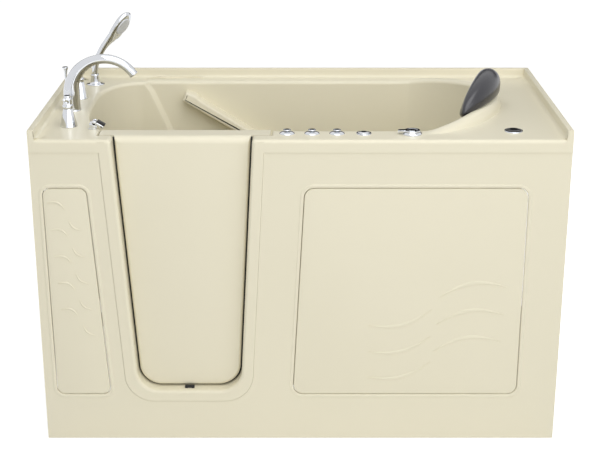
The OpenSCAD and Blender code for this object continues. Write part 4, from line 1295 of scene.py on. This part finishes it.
# Skirt and panels
@dataclass
class FrontSkirt:
    """Front skirt with two framed openings and their access panels."""

    y: float = 2.0
    back: float = 8.0
    left_line: Sequence[Flat] = ((-724, 150), (-566, 150), (-607, 794), (-730, 794))
    right_line: Sequence[Flat] = ((-22, 150), (644, 150), (645, 794), (13, 794))
    left_r: float = 22.0
    right_r: float = 28.0
    gap: float = 1.5
    # Columns of strokes: first middle, step to the next, length, rise, thickness, way up and tilt
    left_strokes: Sequence[tuple] = (((-694, 742), (5, -82), 52, 14, 7, 1, 22),
                                     ((-643, 684), (6, -82), 46, 12, 6, -1, 40))
    right_strokes: Sequence[tuple] = (((503, 478), (-6, -86), 200, 34, 13, 1, -9),
                                      ((290, 398), (0, -84), 195, 32, 12, -1, -15))

    def plate(self) -> BMesh:
        """Returns the skirt's sheet with its doorway notch and two openings."""
        top = TUB.lip - 0.2
        notch = TUB.door_line(*(side + 0.2 for side in MouldedShell.frame_grow), top)
        outer = [(-TUB.half_l, 2), (TUB.half_l, 2), (TUB.half_l, top), *reversed(notch), (-TUB.half_l, top)]
        bm = bmesh.new()
        for line in (outer, round_outline(self.left_line, self.left_r, self.gap + 2.2),
                     round_outline(self.right_line, self.right_r, self.gap + 2.2)):
            verts = [bm.verts.new(at(x, self.y, z)) for x, z in line]
            for pair in zip(verts, verts[1:] + verts[:1]):
                bm.edges.new(pair)
        bmesh.ops.triangle_fill(bm, use_beauty=True, use_dissolve=False, edges=bm.edges[:])
        made = bmesh.ops.extrude_face_region(bm, geom=bm.faces[:])["geom"]
        moved = [g for g in made if isinstance(g, BMVert)]
        bmesh.ops.translate(bm, vec=(0, (self.back - self.y) * MM, 0), verts=moved)
        bmesh.ops.recalc_face_normals(bm, faces=bm.faces)
        return bm

    def border(self, line: Sequence[Flat], r: float) -> BMesh:
        """Soft raised border round an opening, with the opening's edge.

        Args:
            line: the opening's corners.
            r: their radius.

        Returns:
            The closed surface.
        """
        steps = [(12.5, self.y + 0.6), (12.5, self.y), (11.6, self.y - 0.7), (10, self.y - 1.3),
                 (8.2, self.y - 1.55), (5.8, self.y - 1.55), (3.8, self.y - 1.25), (2.4, self.y - 0.4),
                 (self.gap, self.y + 1.6),
                 (self.gap, self.back), (12.5, self.back), (12.5, self.y + 0.6)]
        skin = grown([at(x, y, z) for x, z in round_outline(line, r, grow, 12)] for grow, y in steps)
        bmesh.ops.remove_doubles(skin.bm, verts=skin.bm.verts, dist=1e-7)
        return skin.outward()

    def panel(self, line: Sequence[Flat], r: float) -> BMesh:
        """Returns an access panel with a soft front edge."""
        steps = [(0.0, self.back), (0.0, self.y + 2.6), (-0.35, self.y + 1.2), (-1.3, self.y + 0.3),
                 (-2.8, self.y)]
        return capped([at(x, y, z) for x, z in round_outline(line, r, grow, 12)] for grow, y in steps)

    def stroke(self, spot: Flat, length: float, rise: float, fat: float, up: int, tilt: float) -> BMesh:
        """Returns one raised crescent on a panel.

        Args:
            spot: its middle (x, z).
            length: distance between its tips.
            rise: height of its arc.
            fat: its thickness in the middle.
            up: 1 for an arch, -1 for a hollow.
            tilt: turn in degrees that lowers its right end.

        Returns:
            The closed surface.
        """
        steps = [(1.0, 0.3), (1.0, -0.1), (0.86, -0.75), (0.62, -1.25), (0.3, -1.55)]
        a = math.radians(-tilt)
        count = 20
        rings: list[list[Vector]] = []
        for share, depth in steps:
            ring: list[Vector] = []
            for i in range(2 * count):
                k = i if i <= count else 2 * count - i
                t = k / count
                body = math.sin(math.pi * t)
                middle = rise - fat / 2
                half = fat / 2 * share * (1 if i <= count else -1)
                x = length * (t - 0.5) * mix(1.0, 0.985, 1 - share)
                z = up * (middle * body + half * body)
                ring.append(at(spot[0] + x * math.cos(a) - z * math.sin(a), self.y + depth,
                               spot[1] + x * math.sin(a) + z * math.cos(a)))
            rings.append(ring)
        skin = grown(rings).close_start().close_end()
        bmesh.ops.remove_doubles(skin.bm, verts=skin.bm.verts, dist=1e-6)
        return skin.outward()

    def relief(self, columns: Sequence[tuple], rows: int) -> list[BMesh]:
        """Strokes of one panel.

        Args:
            columns: the panel's columns of strokes.
            rows: number of strokes in each.

        Returns:
            The strokes, row by row.
        """
        return [self.stroke((x + step_x * i, z + step_z * i), *shape)
                for i in range(rows) for (x, z), (step_x, step_z), *shape in columns]

    def build(self) -> None:
        """Builds and dresses the skirt and its panels."""
        parts = [self.plate(), self.border(self.left_line, self.left_r),
                 self.border(self.right_line, self.right_r)]
        for x0, x1 in ((-TUB.half_l, -TUB.half_l + 6), (TUB.half_l - 6, TUB.half_l)):
            parts.append(soft_box((x0, self.y + 0.2, 2), (x1, 50, TUB.lip - 2), 0.8, 2))
        piece(merged(parts), "front_skirt", "root", ACRYLIC, "front_apron")
        left = [self.panel(self.left_line, self.left_r), *self.relief(self.left_strokes, 5)]
        piece(merged(left), "left_panel", "root", ACRYLIC, "left_access_panel")
        right = [self.panel(self.right_line, self.right_r), *self.relief(self.right_strokes, 3)]
        piece(merged(right), "right_panel", "root", ACRYLIC, "right_access_panel")


# Door and latch
@dataclass
class Door:
    """Door of two skins: a front panel with its sealing flange and a liner."""

    face_y: float = 33.0
    flange_y: float = 54.0
    liner_y: float = 60.0
    in_y: float = 114.0
    gap: float = 5.0
    top_r: float = 21.0
    side_r: float = 9.0
    flange: Solid = (39.0, 50.0, 20.0)
    # The seal's strip and lip: outer growth, inner growth, front, back and top
    seal_strip: tuple = ((35, 42, 16), (21, 28, 2), 49.3, 54, 930)
    seal_lip: tuple = ((-0.3, -0.3, -0.3), (-4.7, -4.7, -4.7), 48.5, 53.9, 932)

    def loop(self, grow: Solid, y: float, drop: float = 0.0, slope: float = 0.0) -> list[Vector]:
        """Outline of the door at a depth.

        Args:
            grow: growth on the left, right and bottom.
            y: depth of the outline's sides.
            drop: how far its top edge lies below the deck.
            slope: how much deeper its top edge lies than its sides.

        Returns:
            Points in metres.
        """
        line = TUB.door_line(*grow, TUB.deck - drop, across=14)
        return [at(x, y + slope * smooth((z - TUB.deck + drop + 70) / 70), z) for x, z in line]

    def front(self) -> BMesh:
        """Returns the front panel, its top edge rounded back into the top strip."""
        g = self.gap
        skin = Skin(self.loop(self.flange, self.liner_y))
        skin.grow(self.loop(self.flange, self.flange_y + 0.6))
        skin.grow(self.loop(tuple(v - 0.6 for v in self.flange), self.flange_y))
        skin.grow(self.loop((-g + 1.5, -g + 1.5, -g + 1.5), self.flange_y))
        skin.grow(self.loop((-g, -g, -g), self.flange_y - 0.5, 0, 0.3))
        for k in range(7):
            a = math.pi / 2 * (1 - k / 6)
            inset = self.side_r * (1 - math.sin(a))
            y = self.face_y + self.side_r * (1 - math.cos(a))
            top = self.top_r * (1 - math.sin(a))
            slope = (self.top_r - self.side_r) * (1 - math.cos(a))
            skin.grow(self.loop((-g - inset, -g - inset, -g - inset), y, top, slope))
        return skin.close_start().close_end().outward()

    def liner(self) -> BMesh:
        """Returns the liner behind the front panel."""
        skin = Skin(self.loop(self.flange, self.liner_y + 0.15))
        r = 7.0
        for k in range(5):
            a = math.pi / 2 * k / 4
            inset = r * (1 - math.cos(a))
            y = self.in_y - r + r * math.sin(a)
            skin.grow(self.loop(tuple(v - inset for v in self.flange), y, inset * 0.7))
        return skin.close_start().close_end().outward()

    def seal(self) -> BMesh:
        """Returns the seal: a soft strip on the flange and its lip, which closes the gap round the door."""
        parts = []
        for outer, inner, y0, y1, top in (self.seal_strip, self.seal_lip):
            line = TUB.door_line(*outer, top) + list(reversed(TUB.door_line(*inner, top)))
            part = slab(line, y0, y1)
            parts.append(soften(part, edges_at(part, y0), 1.2, 3))
        return merged(parts)

    def build(self) -> None:
        """Builds and dresses the door."""
        piece(self.seal(), "door_seal_strip", "door", RUBBER, "door_seal")
        piece(self.front(), "door_front_skin", "door", ACRYLIC, "door_outer_panel")
        piece(self.liner(), "door_liner", "door", ACRYLIC, "door_inner_panel")


@dataclass
class Latch:
    """Door latch: bracket with two ears, a cranked lever and its grip."""

    x: float = -591.0
    z: float = 955.5
    y0: float = 116.0
    y1: float = 130.0
    tilt: float = 30.0

    def lean(self, bm: BMesh) -> BMesh:
        """Leans a part of the lever about its pivot.

        Args:
            bm: the part's mesh.

        Returns:
            The same mesh.
        """
        turn = Matrix.Rotation(math.radians(self.tilt), 3, "Y")
        bmesh.ops.rotate(bm, verts=bm.verts, cent=at(self.x, 0, self.z), matrix=turn)
        return bm

    def build(self) -> None:
        """Builds and dresses the latch."""
        x, z, y0, y1 = self.x, self.z, self.y0, self.y1
        parts = [soft_box((x - 17, y0 - 4, TUB.deck), (x + 5, y1 + 4, TUB.deck + 3), 1.0)]
        for y in (y0 - 3.8, y1 + 0.3):
            parts.append(soft_box((x - 14, y, TUB.deck + 0.5), (x + 4, y + 3.5, z), 0.9))
            parts.append(bar(at(x, y, z), at(x, y + 3.5, z), 7, 0.7))
        piece(merged(parts), "latch_bracket_plate", "root", CHROME, "latch_bracket")
        mid = (y0 + y1) / 2
        lever = [bar(at(x, y0, z), at(x, y1, z), 6, 0.6),
                 bar(at(x, y0 - 4.3, z), at(x, y1 + 4.3, z), 2.5, 0.5),
                 self.lean(soft_box((x, y0, z - 3.5), (x + 29, y1, z + 3.5), 1.4)),
                 self.lean(bar(at(x + 22, mid, z - 6.5), at(x + 22, mid, z), 2.6, 0.8))]
        piece(merged(lever), "latch_arm", "door_latch", CHROME, "latch_lever")
        grip = self.lean(soft_box((x + 5.2, y0 + 1, z + 3.5), (x + 30, y1 - 1, z + 11.5), 1.6, 4))
        piece(grip, "latch_thumb_pad", "door_latch", BLACK_ABS, "latch_grip")


# Headrest
@dataclass
class Headrest:
    """Gel pillow that hooks over the collar and tapers to both ends."""

    middle: float = -16.8
    sweep: float = 34.4
    crest_half: Flat = (219.0, 297.0)
    rings: int = 44
    section: Sequence[Flat] = (
        (34, 5), (37, 24), (36, 42), (29, 60), (13, 74), (-8, 77), (-28, 67), (-42, 40), (-53, 9),
        (-61, -17), (-60, -36), (-47, -47), (-25, -50), (-8, -44), (-3, -26), (-3, -10), (2, 0), (17, 2))

    def crest(self, t: float) -> tuple[Vector, Vector, float]:
        """Reads the line along which the pillow hooks over the collar.

        Args:
            t: place along the pillow, from -1 to 1.

        Returns:
            The point, the way outwards there, and the section's size as a share of the middle's.
        """
        a = math.radians(self.middle + self.sweep * t)
        c, s = math.cos(a) ** (4 / 3), signed_power(math.sin(a), 4 / 3)
        half_x, half_y = self.crest_half
        x = TUB.basin_right - TUB.head_l + half_x * c
        y = (TUB.basin_front + TUB.basin_back) / 2 + half_y * s
        turn = math.atan2(signed_power(s, 0.5) / half_y, math.sqrt(c) / TUB.head_l)
        size = max(0.03, (1 - t * t) ** 0.63)
        return Vector((x, y)), Vector((math.cos(turn), math.sin(turn))), size

    def outline(self) -> list[Flat]:
        """Returns the section as a smooth closed curve."""
        pts = [Vector(p) for p in self.section]
        n, out = len(pts), []
        for i in range(n):
            a, b, c, d = pts[i - 1], pts[i], pts[(i + 1) % n], pts[(i + 2) % n]
            for k in range(4):
                t = k / 4
                p = 0.5 * (2 * b + (c - a) * t + (2 * a - 5 * b + 4 * c - d) * t * t
                           + (3 * b - a - 3 * c + d) * t**3)
                out.append((p.x, p.y))
        return out

    def build(self) -> None:
        """Builds and dresses the pillow."""
        shell = MouldedShell()
        outline = self.outline()
        outlines: list[list[Vector]] = []
        for i in range(self.rings + 1):
            u = -1 + 2 * i / self.rings
            t = math.sin(u * math.pi / 2) * 0.35 + u * 0.65
            spot, way, size = self.crest(t)
            ring: list[Vector] = []
            for p, q in outline:
                x, y = spot.x + way.x * p * size, spot.y + way.y * p * size
                z = TUB.deck + shell.rise(spot.x, 1.0) + q * size + 1
                if p > 0 and q < 10:
                    share = 1 - (max(0.0, p * size + 4) / shell.collar_w) ** shell.collar_power
                    z = max(z, TUB.deck + shell.rise(x, max(0.0, share)) + 0.6)
                ring.append(at(x, y, z))
            outlines.append(ring)
        bm = capped(outlines)
        for _ in range(2):
            bmesh.ops.smooth_vert(bm, verts=bm.verts, factor=0.35, use_axis_x=True, use_axis_y=True,
                                  use_axis_z=True)
        pad = piece(bm, "headrest_pad", "root", GEL, "headrest_pillow", crease=60)


# Filler
@dataclass
class Filler:
    """Two lever valves, a bowed spout, a diverter rod and a hand shower in its cradle."""

    front_valve: Flat = (-670.0, 151.0)
    rear_valve: Flat = (-689.0, 483.0)
    spout: Flat = (-690.0, 335.0)
    diverter: Flat = (-710.0, 366.0)
    cradle: Flat = (-669.0, 671.0)
    bow_r: float = 103.0
    bow_z: float = 990.5
    bow_turn: float = 146.0
    lever_rise: float = 19.5

    def on_deck(self, spot: Flat, height: float = 0.0) -> Vector:
        """Returns a point above the deck at a fitting's place."""
        return at(spot[0], spot[1], TUB.deck + height)

    def escutcheon(self, spot: Flat) -> BMesh:
        """Returns the flared base of a valve."""
        line = rounded([(0, 0), (25, 0), (25, 1.8), (19.2, 28), (13.5, 53), (0, 53)], 1.2)
        return revolve(line, self.on_deck(spot), 64)

    def handle(self, spot: Flat, side: int) -> BMesh:
        """Returns a valve's handle: ringed hub, cap and a lever that rises.

        Args:
            spot: the valve's place on the deck.
            side: -1 for a lever towards the front, 1 towards the wall.

        Returns:
            The handle's mesh.
        """
        hub = rounded([(0, 0), (13.5, 0), (14.2, 2.2), (15.5, 4.6), (15.5, 9), (13.4, 11.4), (12.4, 13.5),
                       (12.5, 20), (12.2, 27), (10.4, 31.6), (9.1, 32.8), (10, 33.8), (10, 37), (8.8, 38),
                       (0, 38)], 0.9)
        base = self.on_deck(spot, 53.3)
        rise = math.radians(self.lever_rise)
        way = Vector((0, side * math.cos(rise), math.sin(rise)))
        root = base + Vector((0, 0, 18 * MM))
        stations = [(6, 6.6), (14, 6.4), (24, 5.9), (34, 5.4), (44, 5.0), (51, 4.9), (56, 4.6), (59, 3.6),
                    (60.4, 1.5)]
        lever = tube([root + way * d * MM for d, _ in stations], [r for _, r in stations], 24, (1, 0, 0))
        return merged([revolve(hub, base, 56), lever])

    def spout_mesh(self) -> BMesh:
        """Returns the spout: flared column and tapering bow in one sweep, with its outlet."""
        x, y = self.spout
        points: list[Vector] = []
        radii: list[float] = []
        column = ((0, 26.5), (1.3, 26.5), (2.3, 26.1), (4, 25.5), (9, 25.2), (18, 24.9), (30, 24.6),
                  (44, 24.3), (self.bow_z - TUB.deck, 24))
        outlet = ((0.2, 14.0), (3.2, 14.0), (4.2, 13.3), (4.2, 10.2), (1.0, 9.6))
        for z, r in column:
            points.append(at(x, y, TUB.deck + z))
            radii.append(r)
        centre = at(x + self.bow_r, y, self.bow_z)
        steps = 44
        for k in range(1, steps + 1):
            s = k / steps
            a = math.pi - math.radians(self.bow_turn) * s
            points.append(centre + Vector((math.cos(a), 0, math.sin(a))) * self.bow_r * MM)
            radii.append(24 - 9.5 * min(1, 2 * s) - 1.2 * max(0, 2 * s - 1))
        out = (points[-1] - points[-2]).normalized()
        end = points[-1]
        for d, r in outlet:
            points.append(end + out * d * MM)
            radii.append(r)
        cross = Vector((0, 1, 0))
        rings: list[list[Vector]] = []
        for i, (point, radius) in enumerate(zip(points, radii)):
            if i < len(column):
                along = Vector((0, 0, 1))
            elif i >= len(points) - len(outlet):
                along = out
            else:
                along = (points[i + 1] - points[i - 1]).normalized()
            side = along.cross(cross).normalized()
            rings.append([point + (side * math.cos(b) + cross * math.sin(b)) * radius * MM
                          for b in (2 * math.pi * k / 36 for k in range(36))])
        return capped(rings)

    def rod(self) -> BMesh:
        """Returns the diverter's lift rod with its flared knob."""
        knob = rounded([(0, 0), (3.3, 0), (3.8, 9), (4.9, 19), (6.7, 28.5), (9.1, 34), (9.6, 35.4), (9.6, 37),
                        (8.6, 38), (0, 38)], 0.6)
        return merged([bar(self.on_deck(self.diverter, -30), self.on_deck(self.diverter, 91), 3, 0.3),
                       revolve(knob, self.on_deck(self.diverter, 88), 32)])

    def build(self) -> None:
        """Builds and dresses the filler."""
        piece(merged([self.escutcheon(self.front_valve), self.escutcheon(self.rear_valve)]), "valve_flares",
              "root", CHROME, "valve_escutcheons")
        piece(self.handle(self.front_valve, -1), "front_lever", "front_handle", CHROME, "front_valve_handle")
        piece(self.handle(self.rear_valve, 1), "rear_lever", "rear_handle", CHROME, "rear_valve_handle")
        piece(self.spout_mesh(), "bowed_spout", "root", CHROME, "spout")
        ferrule = rounded([(3.3, -2), (10, -2), (10, 3.6), (8.4, 5), (3.3, 5), (3.3, -2)], 0.8)
        piece(revolve(ferrule, self.on_deck(self.diverter), 40), "diverter_ferrule", "root", CHROME,
              "diverter_body")
        piece(self.rod(), "diverter_lift_rod", "diverter", CHROME, "diverter_rod")
        cup = rounded([(10.3, 4), (10.3, 0), (30, 0), (30, 2.2), (27, 3.6), (20, 5), (17, 6.6), (15.6, 10),
                       (14.3, 20), (13.1, 32), (12.4, 34), (10.3, 34), (10.3, 4)], 0.9)
        piece(revolve(cup, self.on_deck(self.cradle), 56), "shower_cradle_cup", "root", CHROME,
              "shower_cradle")


@dataclass
class HandShower:
    """Slim bar handset that bends from its cradle and widens into a narrow oval spray head."""

    spot: Flat = Filler.cradle
    lean: float = 35.0
    twist: float = 33.0
    root: Flat = (66.0, 158.0)
    face_at: float = 9.5
    face: Flat = (29.0, 22.0)
    # Sections of the handle: place (x, z), lean, half thickness, half width and twist
    handle: Sequence[Sequence[float]] = (
        (0, -38, 0, 8.4, 8.4, 0), (0, -36, 0, 9.9, 9.9, 0), (0, 10, 0, 9.9, 9.9, 0), (0, 33, 0, 9.9, 9.9, 0),
        (0.6, 44, 4, 10.2, 10.2, 0), (2.4, 57, 9, 9.9, 9.9, 0), (5.6, 69, 15, 9.9, 9.9, 0),
        (9.6, 81, 20, 10.1, 10.1, 3), (14.8, 93, 24, 10.4, 10.5, 5), (21, 105, 27.5, 10.7, 11.1, 8),
        (28.2, 117, 30, 11, 12.1, 12), (37, 129, 32.5, 11.5, 14, 18), (47, 140, 34, 12.2, 17.6, 23),
        (57, 150, 34.8, 13.2, 21.8, 29))
    # Sections of the head: distance along its axis, half thickness and half width
    bowl: Sequence[Sequence[float]] = (
        (0, 13.8, 25), (14, 14.5, 28), (29, 14.9, 29.7), (44, 14.9, 30), (57, 14.4, 29.4), (69, 13.3, 27),
        (79, 11.4, 22.6), (86, 8.8, 17), (90.5, 6, 11), (93, 2.4, 4.6))

    def head(self, d: float) -> Vector:
        """Returns a point of the head's axis, relative to the cradle, in mm."""
        a = math.radians(self.lean)
        return Vector((self.root[0] + d * math.sin(a), 0, self.root[1] + d * math.cos(a)))

    def stations(self) -> list[tuple[Vector, float, float, float, float]]:
        """Returns centre, lean, half thickness, half width and twist of each section."""
        rows = [(Vector((x, 0, z)), *rest) for x, z, *rest in self.handle]
        return rows + [(self.head(d), self.lean, thick, wide, self.twist) for d, thick, wide in self.bowl]

    def body(self) -> BMesh:
        """Returns the chrome body with a flat seat for the spray plate."""
        rings: list[list[Vector]] = []
        base = at(self.spot[0], self.spot[1], TUB.deck)
        for centre, lean, thick, wide, twist in self.stations():
            a, w = math.radians(lean), math.radians(twist)
            n, y = Vector((math.cos(a), 0, -math.sin(a))), Vector((0, 1, 0))
            u = n * math.cos(w) - y * math.sin(w)
            v = n * math.sin(w) + y * math.cos(w)
            flat = self.face_at if thick > self.face_at else thick
            ring = []
            for k in range(36):
                b = 2 * math.pi * k / 36
                p = min(flat, thick * math.cos(b)) if lean == self.lean else thick * math.cos(b)
                ring.append(base + (centre + u * p + v * wide * math.sin(b)) * MM)
            rings.append(ring)
        return capped(rings)

    def plate(self) -> BMesh:
        """Returns the spray plate with its nozzle nubs."""
        line = rounded([(0, 0), (1.0, 0), (1.0, 0.72), (0.94, 1.0), (0, 1.0)], 0.06, 3)
        bm = revolve([(r * 1000, z * 1000) for r, z in line], Vector(), 48)
        long, wide = self.face[0] * MM, self.face[1] * MM
        bmesh.ops.scale(bm, vec=(long, wide, 0.0035), verts=bm.verts)
        nubs = [bm]
        for radius, count in ((0, 1), (0.32, 6), (0.62, 12), (0.86, 16)):
            for k in range(count):
                a = 2 * math.pi * k / count
                spot = Vector((long * radius * math.cos(a), wide * radius * math.sin(a), 0.0033))
                nubs.append(bar(spot, spot + Vector((0, 0, 0.0009)), 0.75, 0.3, 8))
        whole = merged(nubs)
        bmesh.ops.translate(whole, vec=(0, 0, self.face_at * MM), verts=whole.verts)
        turn = Matrix.Rotation(math.radians(90 + self.lean), 4, "Y")
        turn = turn @ Matrix.Rotation(math.radians(self.twist), 4, "X")
        spot = at(self.spot[0], self.spot[1], TUB.deck) + self.head(45) * MM
        bmesh.ops.transform(whole, verts=whole.verts, matrix=Matrix.Translation(spot) @ turn)
        return whole

    def build(self) -> None:
        """Builds and dresses the hand shower."""
        piece(self.body(), "shower_wand", "handset", CHROME, "hand_shower", crease=50)
        piece(self.plate(), "spray_plate", "handset", SILICONE, "spray_face")


# Deck controls
@dataclass
class DeckControls:
    """Row of chrome controls on the deck."""

    knobs: Sequence[Flat] = ((-38.0, 73.0), (33.0, 73.0), (104.0, 73.0))
    blower: Flat = (180.0, 70.0)
    pump: Flat = (609.0, 97.0)
    lever: Flat = (317.0, 66.0)

    def base(self, spot: Flat, profile: Sequence[Flat], soft: float = 1.0) -> BMesh:
        """Returns a control's base turned from a profile above the deck."""
        return revolve(rounded(profile, soft), at(spot[0], spot[1], TUB.deck), 56)

    def bases(self) -> BMesh:
        """Returns all bases: three domes, two dishes and the lever's ring."""
        dome = [(4.2, 0), (22, 0), (22, 0.8), (20.6, 2.4), (17.5, 4.3), (13, 6.1), (9, 7), (4.2, 7), (4.2, 0)]
        parts = [self.base(spot, dome, 0.9) for spot in self.knobs]
        for spot, r in ((self.blower, 22.0), (self.pump, 27.0)):
            parts.append(self.base(spot, [(4.2, 0.6), (4.2, 0), (r, 0), (r, 1.2), (r - 0.8, 3), (r - 3.4, 3.1),
                                          (r - 4.7, 2.4), (r - 4.7, 0.6), (4.2, 0.6)], 0.5))
        ring = [(4.2, 0), (28, 0), (28, 2), (26.4, 4.6), (24, 7.9), (4.2, 7.9), (4.2, 0)]
        parts.append(self.base(self.lever, ring, 1))
        return merged(parts)

    def build(self) -> None:
        """Builds and dresses the controls."""
        piece(self.bases(), "control_rings", "root", CHROME, "control_bases")
        cap = [(0, 7.3), (5.5, 7.3), (6.4, 9.2), (10.6, 9.4), (11.5, 10.4), (11.1, 11.7), (8, 12.3), (0, 12.4)]
        for i, spot in enumerate(self.knobs, 1):
            x, y = spot
            mark = soft_box((x - 1, y - 10, TUB.deck + 12), (x + 1, y - 3, TUB.deck + 12.4), 0.15, 2)
            knob = merged([self.base(spot, cap, 0.6), mark])
            piece(knob, f"knob_cap_{i}", f"air_knob_{i}", CHROME, f"air_knob_{i}")
        # The pump's cap gets black gloss: a painted dark reflection in place of reflecting chrome.
        for name, body, spot, r, finish in (("blower_cap", "blower_button", self.blower, 17.0, CHROME),
                                            ("pump_cap", "pump_button", self.pump, 22.0, PAINTED_REFLECTION_BLACK)):
            line = [(0, 3.15), (r, 3.15), (r - 0.4, 4.2), (r - 3.5, 5.4), (r - 8, 6.3), (0, 6.8)]
            piece(self.base(spot, line, 0.8), name, body, finish, body)
        x, y = self.lever
        disc = self.base(self.lever, [(0, 8.3), (22.4, 8.3), (23, 9), (23, 11.2), (21.8, 12.5), (16, 12.5),
                                      (14.6, 11.8), (0, 11.8)], 0.5)
        line = [(x + 6, y - 12.5), (x + 6, y + 12.5), (x - 20, y + 9.5), (x - 38, y + 7), (x - 41, y + 4),
                (x - 41, y - 4), (x - 38, y - 7), (x - 20, y - 9.5)]
        outlines: list[list[Vector]] = []
        for z, inset in ((8.4, 0.6), (9.0, 0.0), (11.6, 0.0), (12.4, 0.7)):
            points = []
            for px, py in line:
                way = Vector((px - x + 14, py - y)).normalized()
                points.append(at(px - way.x * inset, py - way.y * inset, TUB.deck + z))
            outlines.append(points)
        tongue = capped(outlines)
        tip = soft_box((x - 41, y - 4, TUB.deck + 4), (x - 37, y + 4, TUB.deck + 9), 1.0)
        piece(merged([disc, tongue, tip]), "drain_turn", "drain_lever", CHROME, "drain_lever")


# Studio
@dataclass
class Studio:
    """Pale floor, soft lamps, background and the camera of the photograph."""

    focal_px: float = 1316.8
    image_w: float = 600.0
    pitch: float = 19.56
    eye: Solid = (-1.2, -3930.9, 1942.7)
    ambient: float = 0.45
    floor_lift: float = 0.62

    def camera(self) -> None:
        """Places the camera at the photograph's viewpoint."""
        lens = bpy.data.cameras.new("view")
        lens.sensor_width = 36.0
        lens.lens = self.focal_px / self.image_w * 36.0
        lens.clip_end = 100.0
        obj = bpy.data.objects.new("view", lens)
        obj.location = Vector(self.eye) * MM
        obj.rotation_euler = (math.radians(90 - self.pitch), 0, 0)
        bpy.context.scene.collection.objects.link(obj)
        bpy.context.scene.camera = obj

    def lamp(self, name: str, spot: Solid, target: Solid, size: float, power: float) -> None:
        """Adds a soft square lamp.

        Args:
            name: the lamp's name.
            spot: its place in metres.
            target: the point that it faces.
            size: its side in metres.
            power: its power in watts.
        """
        light = bpy.data.lights.new(name, "AREA")
        light.shape = "SQUARE"
        light.size = size
        light.energy = power
        obj = bpy.data.objects.new(name, light)
        obj.location = spot
        obj.rotation_euler = (Vector(target) - Vector(spot)).to_track_quat("-Z", "Y").to_euler()
        bpy.context.scene.collection.objects.link(obj)

    def world(self) -> None:
        """Lights the scene evenly and shows plain white to the camera and in reflections."""
        world = bpy.data.worlds.new("studio")
        world.use_nodes = True
        bpy.context.scene.world = world
        tree = world.node_tree
        tree.nodes.clear()
        path, seen = seen_directly(tree)
        seen = add_node(tree, "ShaderNodeMath", {"operation": "MAXIMUM"},
                        {0: seen, 1: path.outputs["Is Transmission Ray"]})
        white = hex_colour("#FFFFFF")
        dim, plain = (add_node(tree, "ShaderNodeBackground", {"Color": white, "Strength": strength})
                      for strength in (self.ambient, 1.0))
        both = add_node(tree, "ShaderNodeMixShader", {},
                        {0: seen.outputs[0], 1: dim.outputs[0], 2: plain.outputs[0]})
        add_node(tree, "ShaderNodeOutputWorld", {}, {0: both.outputs[0]})

    def floor(self) -> None:
        """Adds the pale floor, which keeps the tub's shadow."""
        bm = bmesh.new()
        bmesh.ops.create_grid(bm, x_segments=8, y_segments=8, size=14.0)
        obj = helper(bm, "floor")
        made, tree, shader = new_material("painted floor, matt white")
        shader.inputs["Roughness"].default_value = 0.9
        coords = add_node(tree, "ShaderNodeTexCoord").outputs["Object"]
        noise = add_node(tree, "ShaderNodeTexNoise", {"Scale": 0.8}, {"Vector": coords})
        two_tones(tree, noise.outputs["Fac"], ("#F1F1F0", "#EFEFEE"))
        _, seen = seen_directly(tree)
        shader.inputs["Emission Color"].default_value = hex_colour("#FFFFFF")
        lift = add_node(tree, "ShaderNodeMath", {"operation": "MULTIPLY", 1: self.floor_lift}, {0: seen})
        tree.links.new(lift.outputs[0], shader.inputs["Emission Strength"])
        obj.data.materials.append(made)

    def card(self, spot: Solid, size: Flat) -> None:
        """Adds an upright dark card that is seen in reflections alone.

        Args:
            spot: its middle in metres.
            size: its width and height in metres.
        """
        bm = bmesh.new()
        bmesh.ops.create_grid(bm, x_segments=4, y_segments=4, size=0.5)
        bmesh.ops.scale(bm, vec=(size[0], size[1], 1), verts=bm.verts)
        bmesh.ops.rotate(bm, verts=bm.verts, matrix=Matrix.Rotation(math.radians(90), 3, "X"))
        bmesh.ops.translate(bm, vec=spot, verts=bm.verts)
        obj = helper(bm, "back_card")
        made, _, shader = new_material("black felt card")
        shader.inputs["Base Color"].default_value = hex_colour("#1D1E22")
        shader.inputs["Roughness"].default_value = 0.9
        obj.data.materials.append(made)
        obj.visible_camera = False
        obj.visible_diffuse = False
        obj.visible_shadow = False
        obj.visible_transmission = False

    def build(self) -> None:
        """Builds the studio."""
        self.camera()
        self.world()
        self.floor()
        self.card((0.0, 4.4, 2.25), (9.0, 1.5))
        self.lamp("key", (0.6, -5.2, 3.1), (0, 0, 0.6), 3.5, 78)
        self.lamp("fill", (3.2, -3.4, 2.6), (0, 0, 0.6), 2.6, 30)
        self.lamp("top", (0.2, -1.1, 3.4), (0, 0, 0.8), 2.4, 42)
        bpy.context.scene.view_settings.view_transform = "Standard"


def main() -> None:
    """Builds every sub-assembly in order."""
    logging.basicConfig(level=logging.INFO, format="%(message)s")
    parts = (MouldedShell, FrontSkirt, Door, Latch, Headrest, Filler, HandShower, DeckControls)
    for part in parts:
        part().build()
    dress_nodes(ZINC, ["base_frame", "upper_frame", "seat_frame", "panel_catches", "equipment_tray",
                       "hinge_frame_leaves", "hinge_door_leaves"])
    dress_nodes(PLYWOOD, ["basin_bearers"])
    dress_nodes(BLACK_ABS, ["levelling_feet", "pump_wet_end"])
    dress_nodes(RUBBER, ["door_rest_block"])
    dress_nodes(CHROME, ["hinge_pins", "drain_body", "drain_stopper", "overflow_cover", "suction_cover",
                         "jet_bodies", *(f"jet_nozzle_{i}" for i in range(1, 5)), "air_jets"])
    dress_nodes(BRASS, ["supply_valves", "mixer_pipe"])
    dress_nodes(PVC, ["shower_pipe", "waste_pipe", "suction_pipe", "discharge_pipe", "water_manifold",
                      "air_manifold"])
    dress_nodes(ENAMEL, ["pump_motor"])
    dress_nodes(GREY_ABS, ["air_blower"])
    dress_nodes(WHITE_ABS, ["control_box"])
    Studio().build()
    LOG.info("boxes written")


if __name__ == "__main__":
    main()
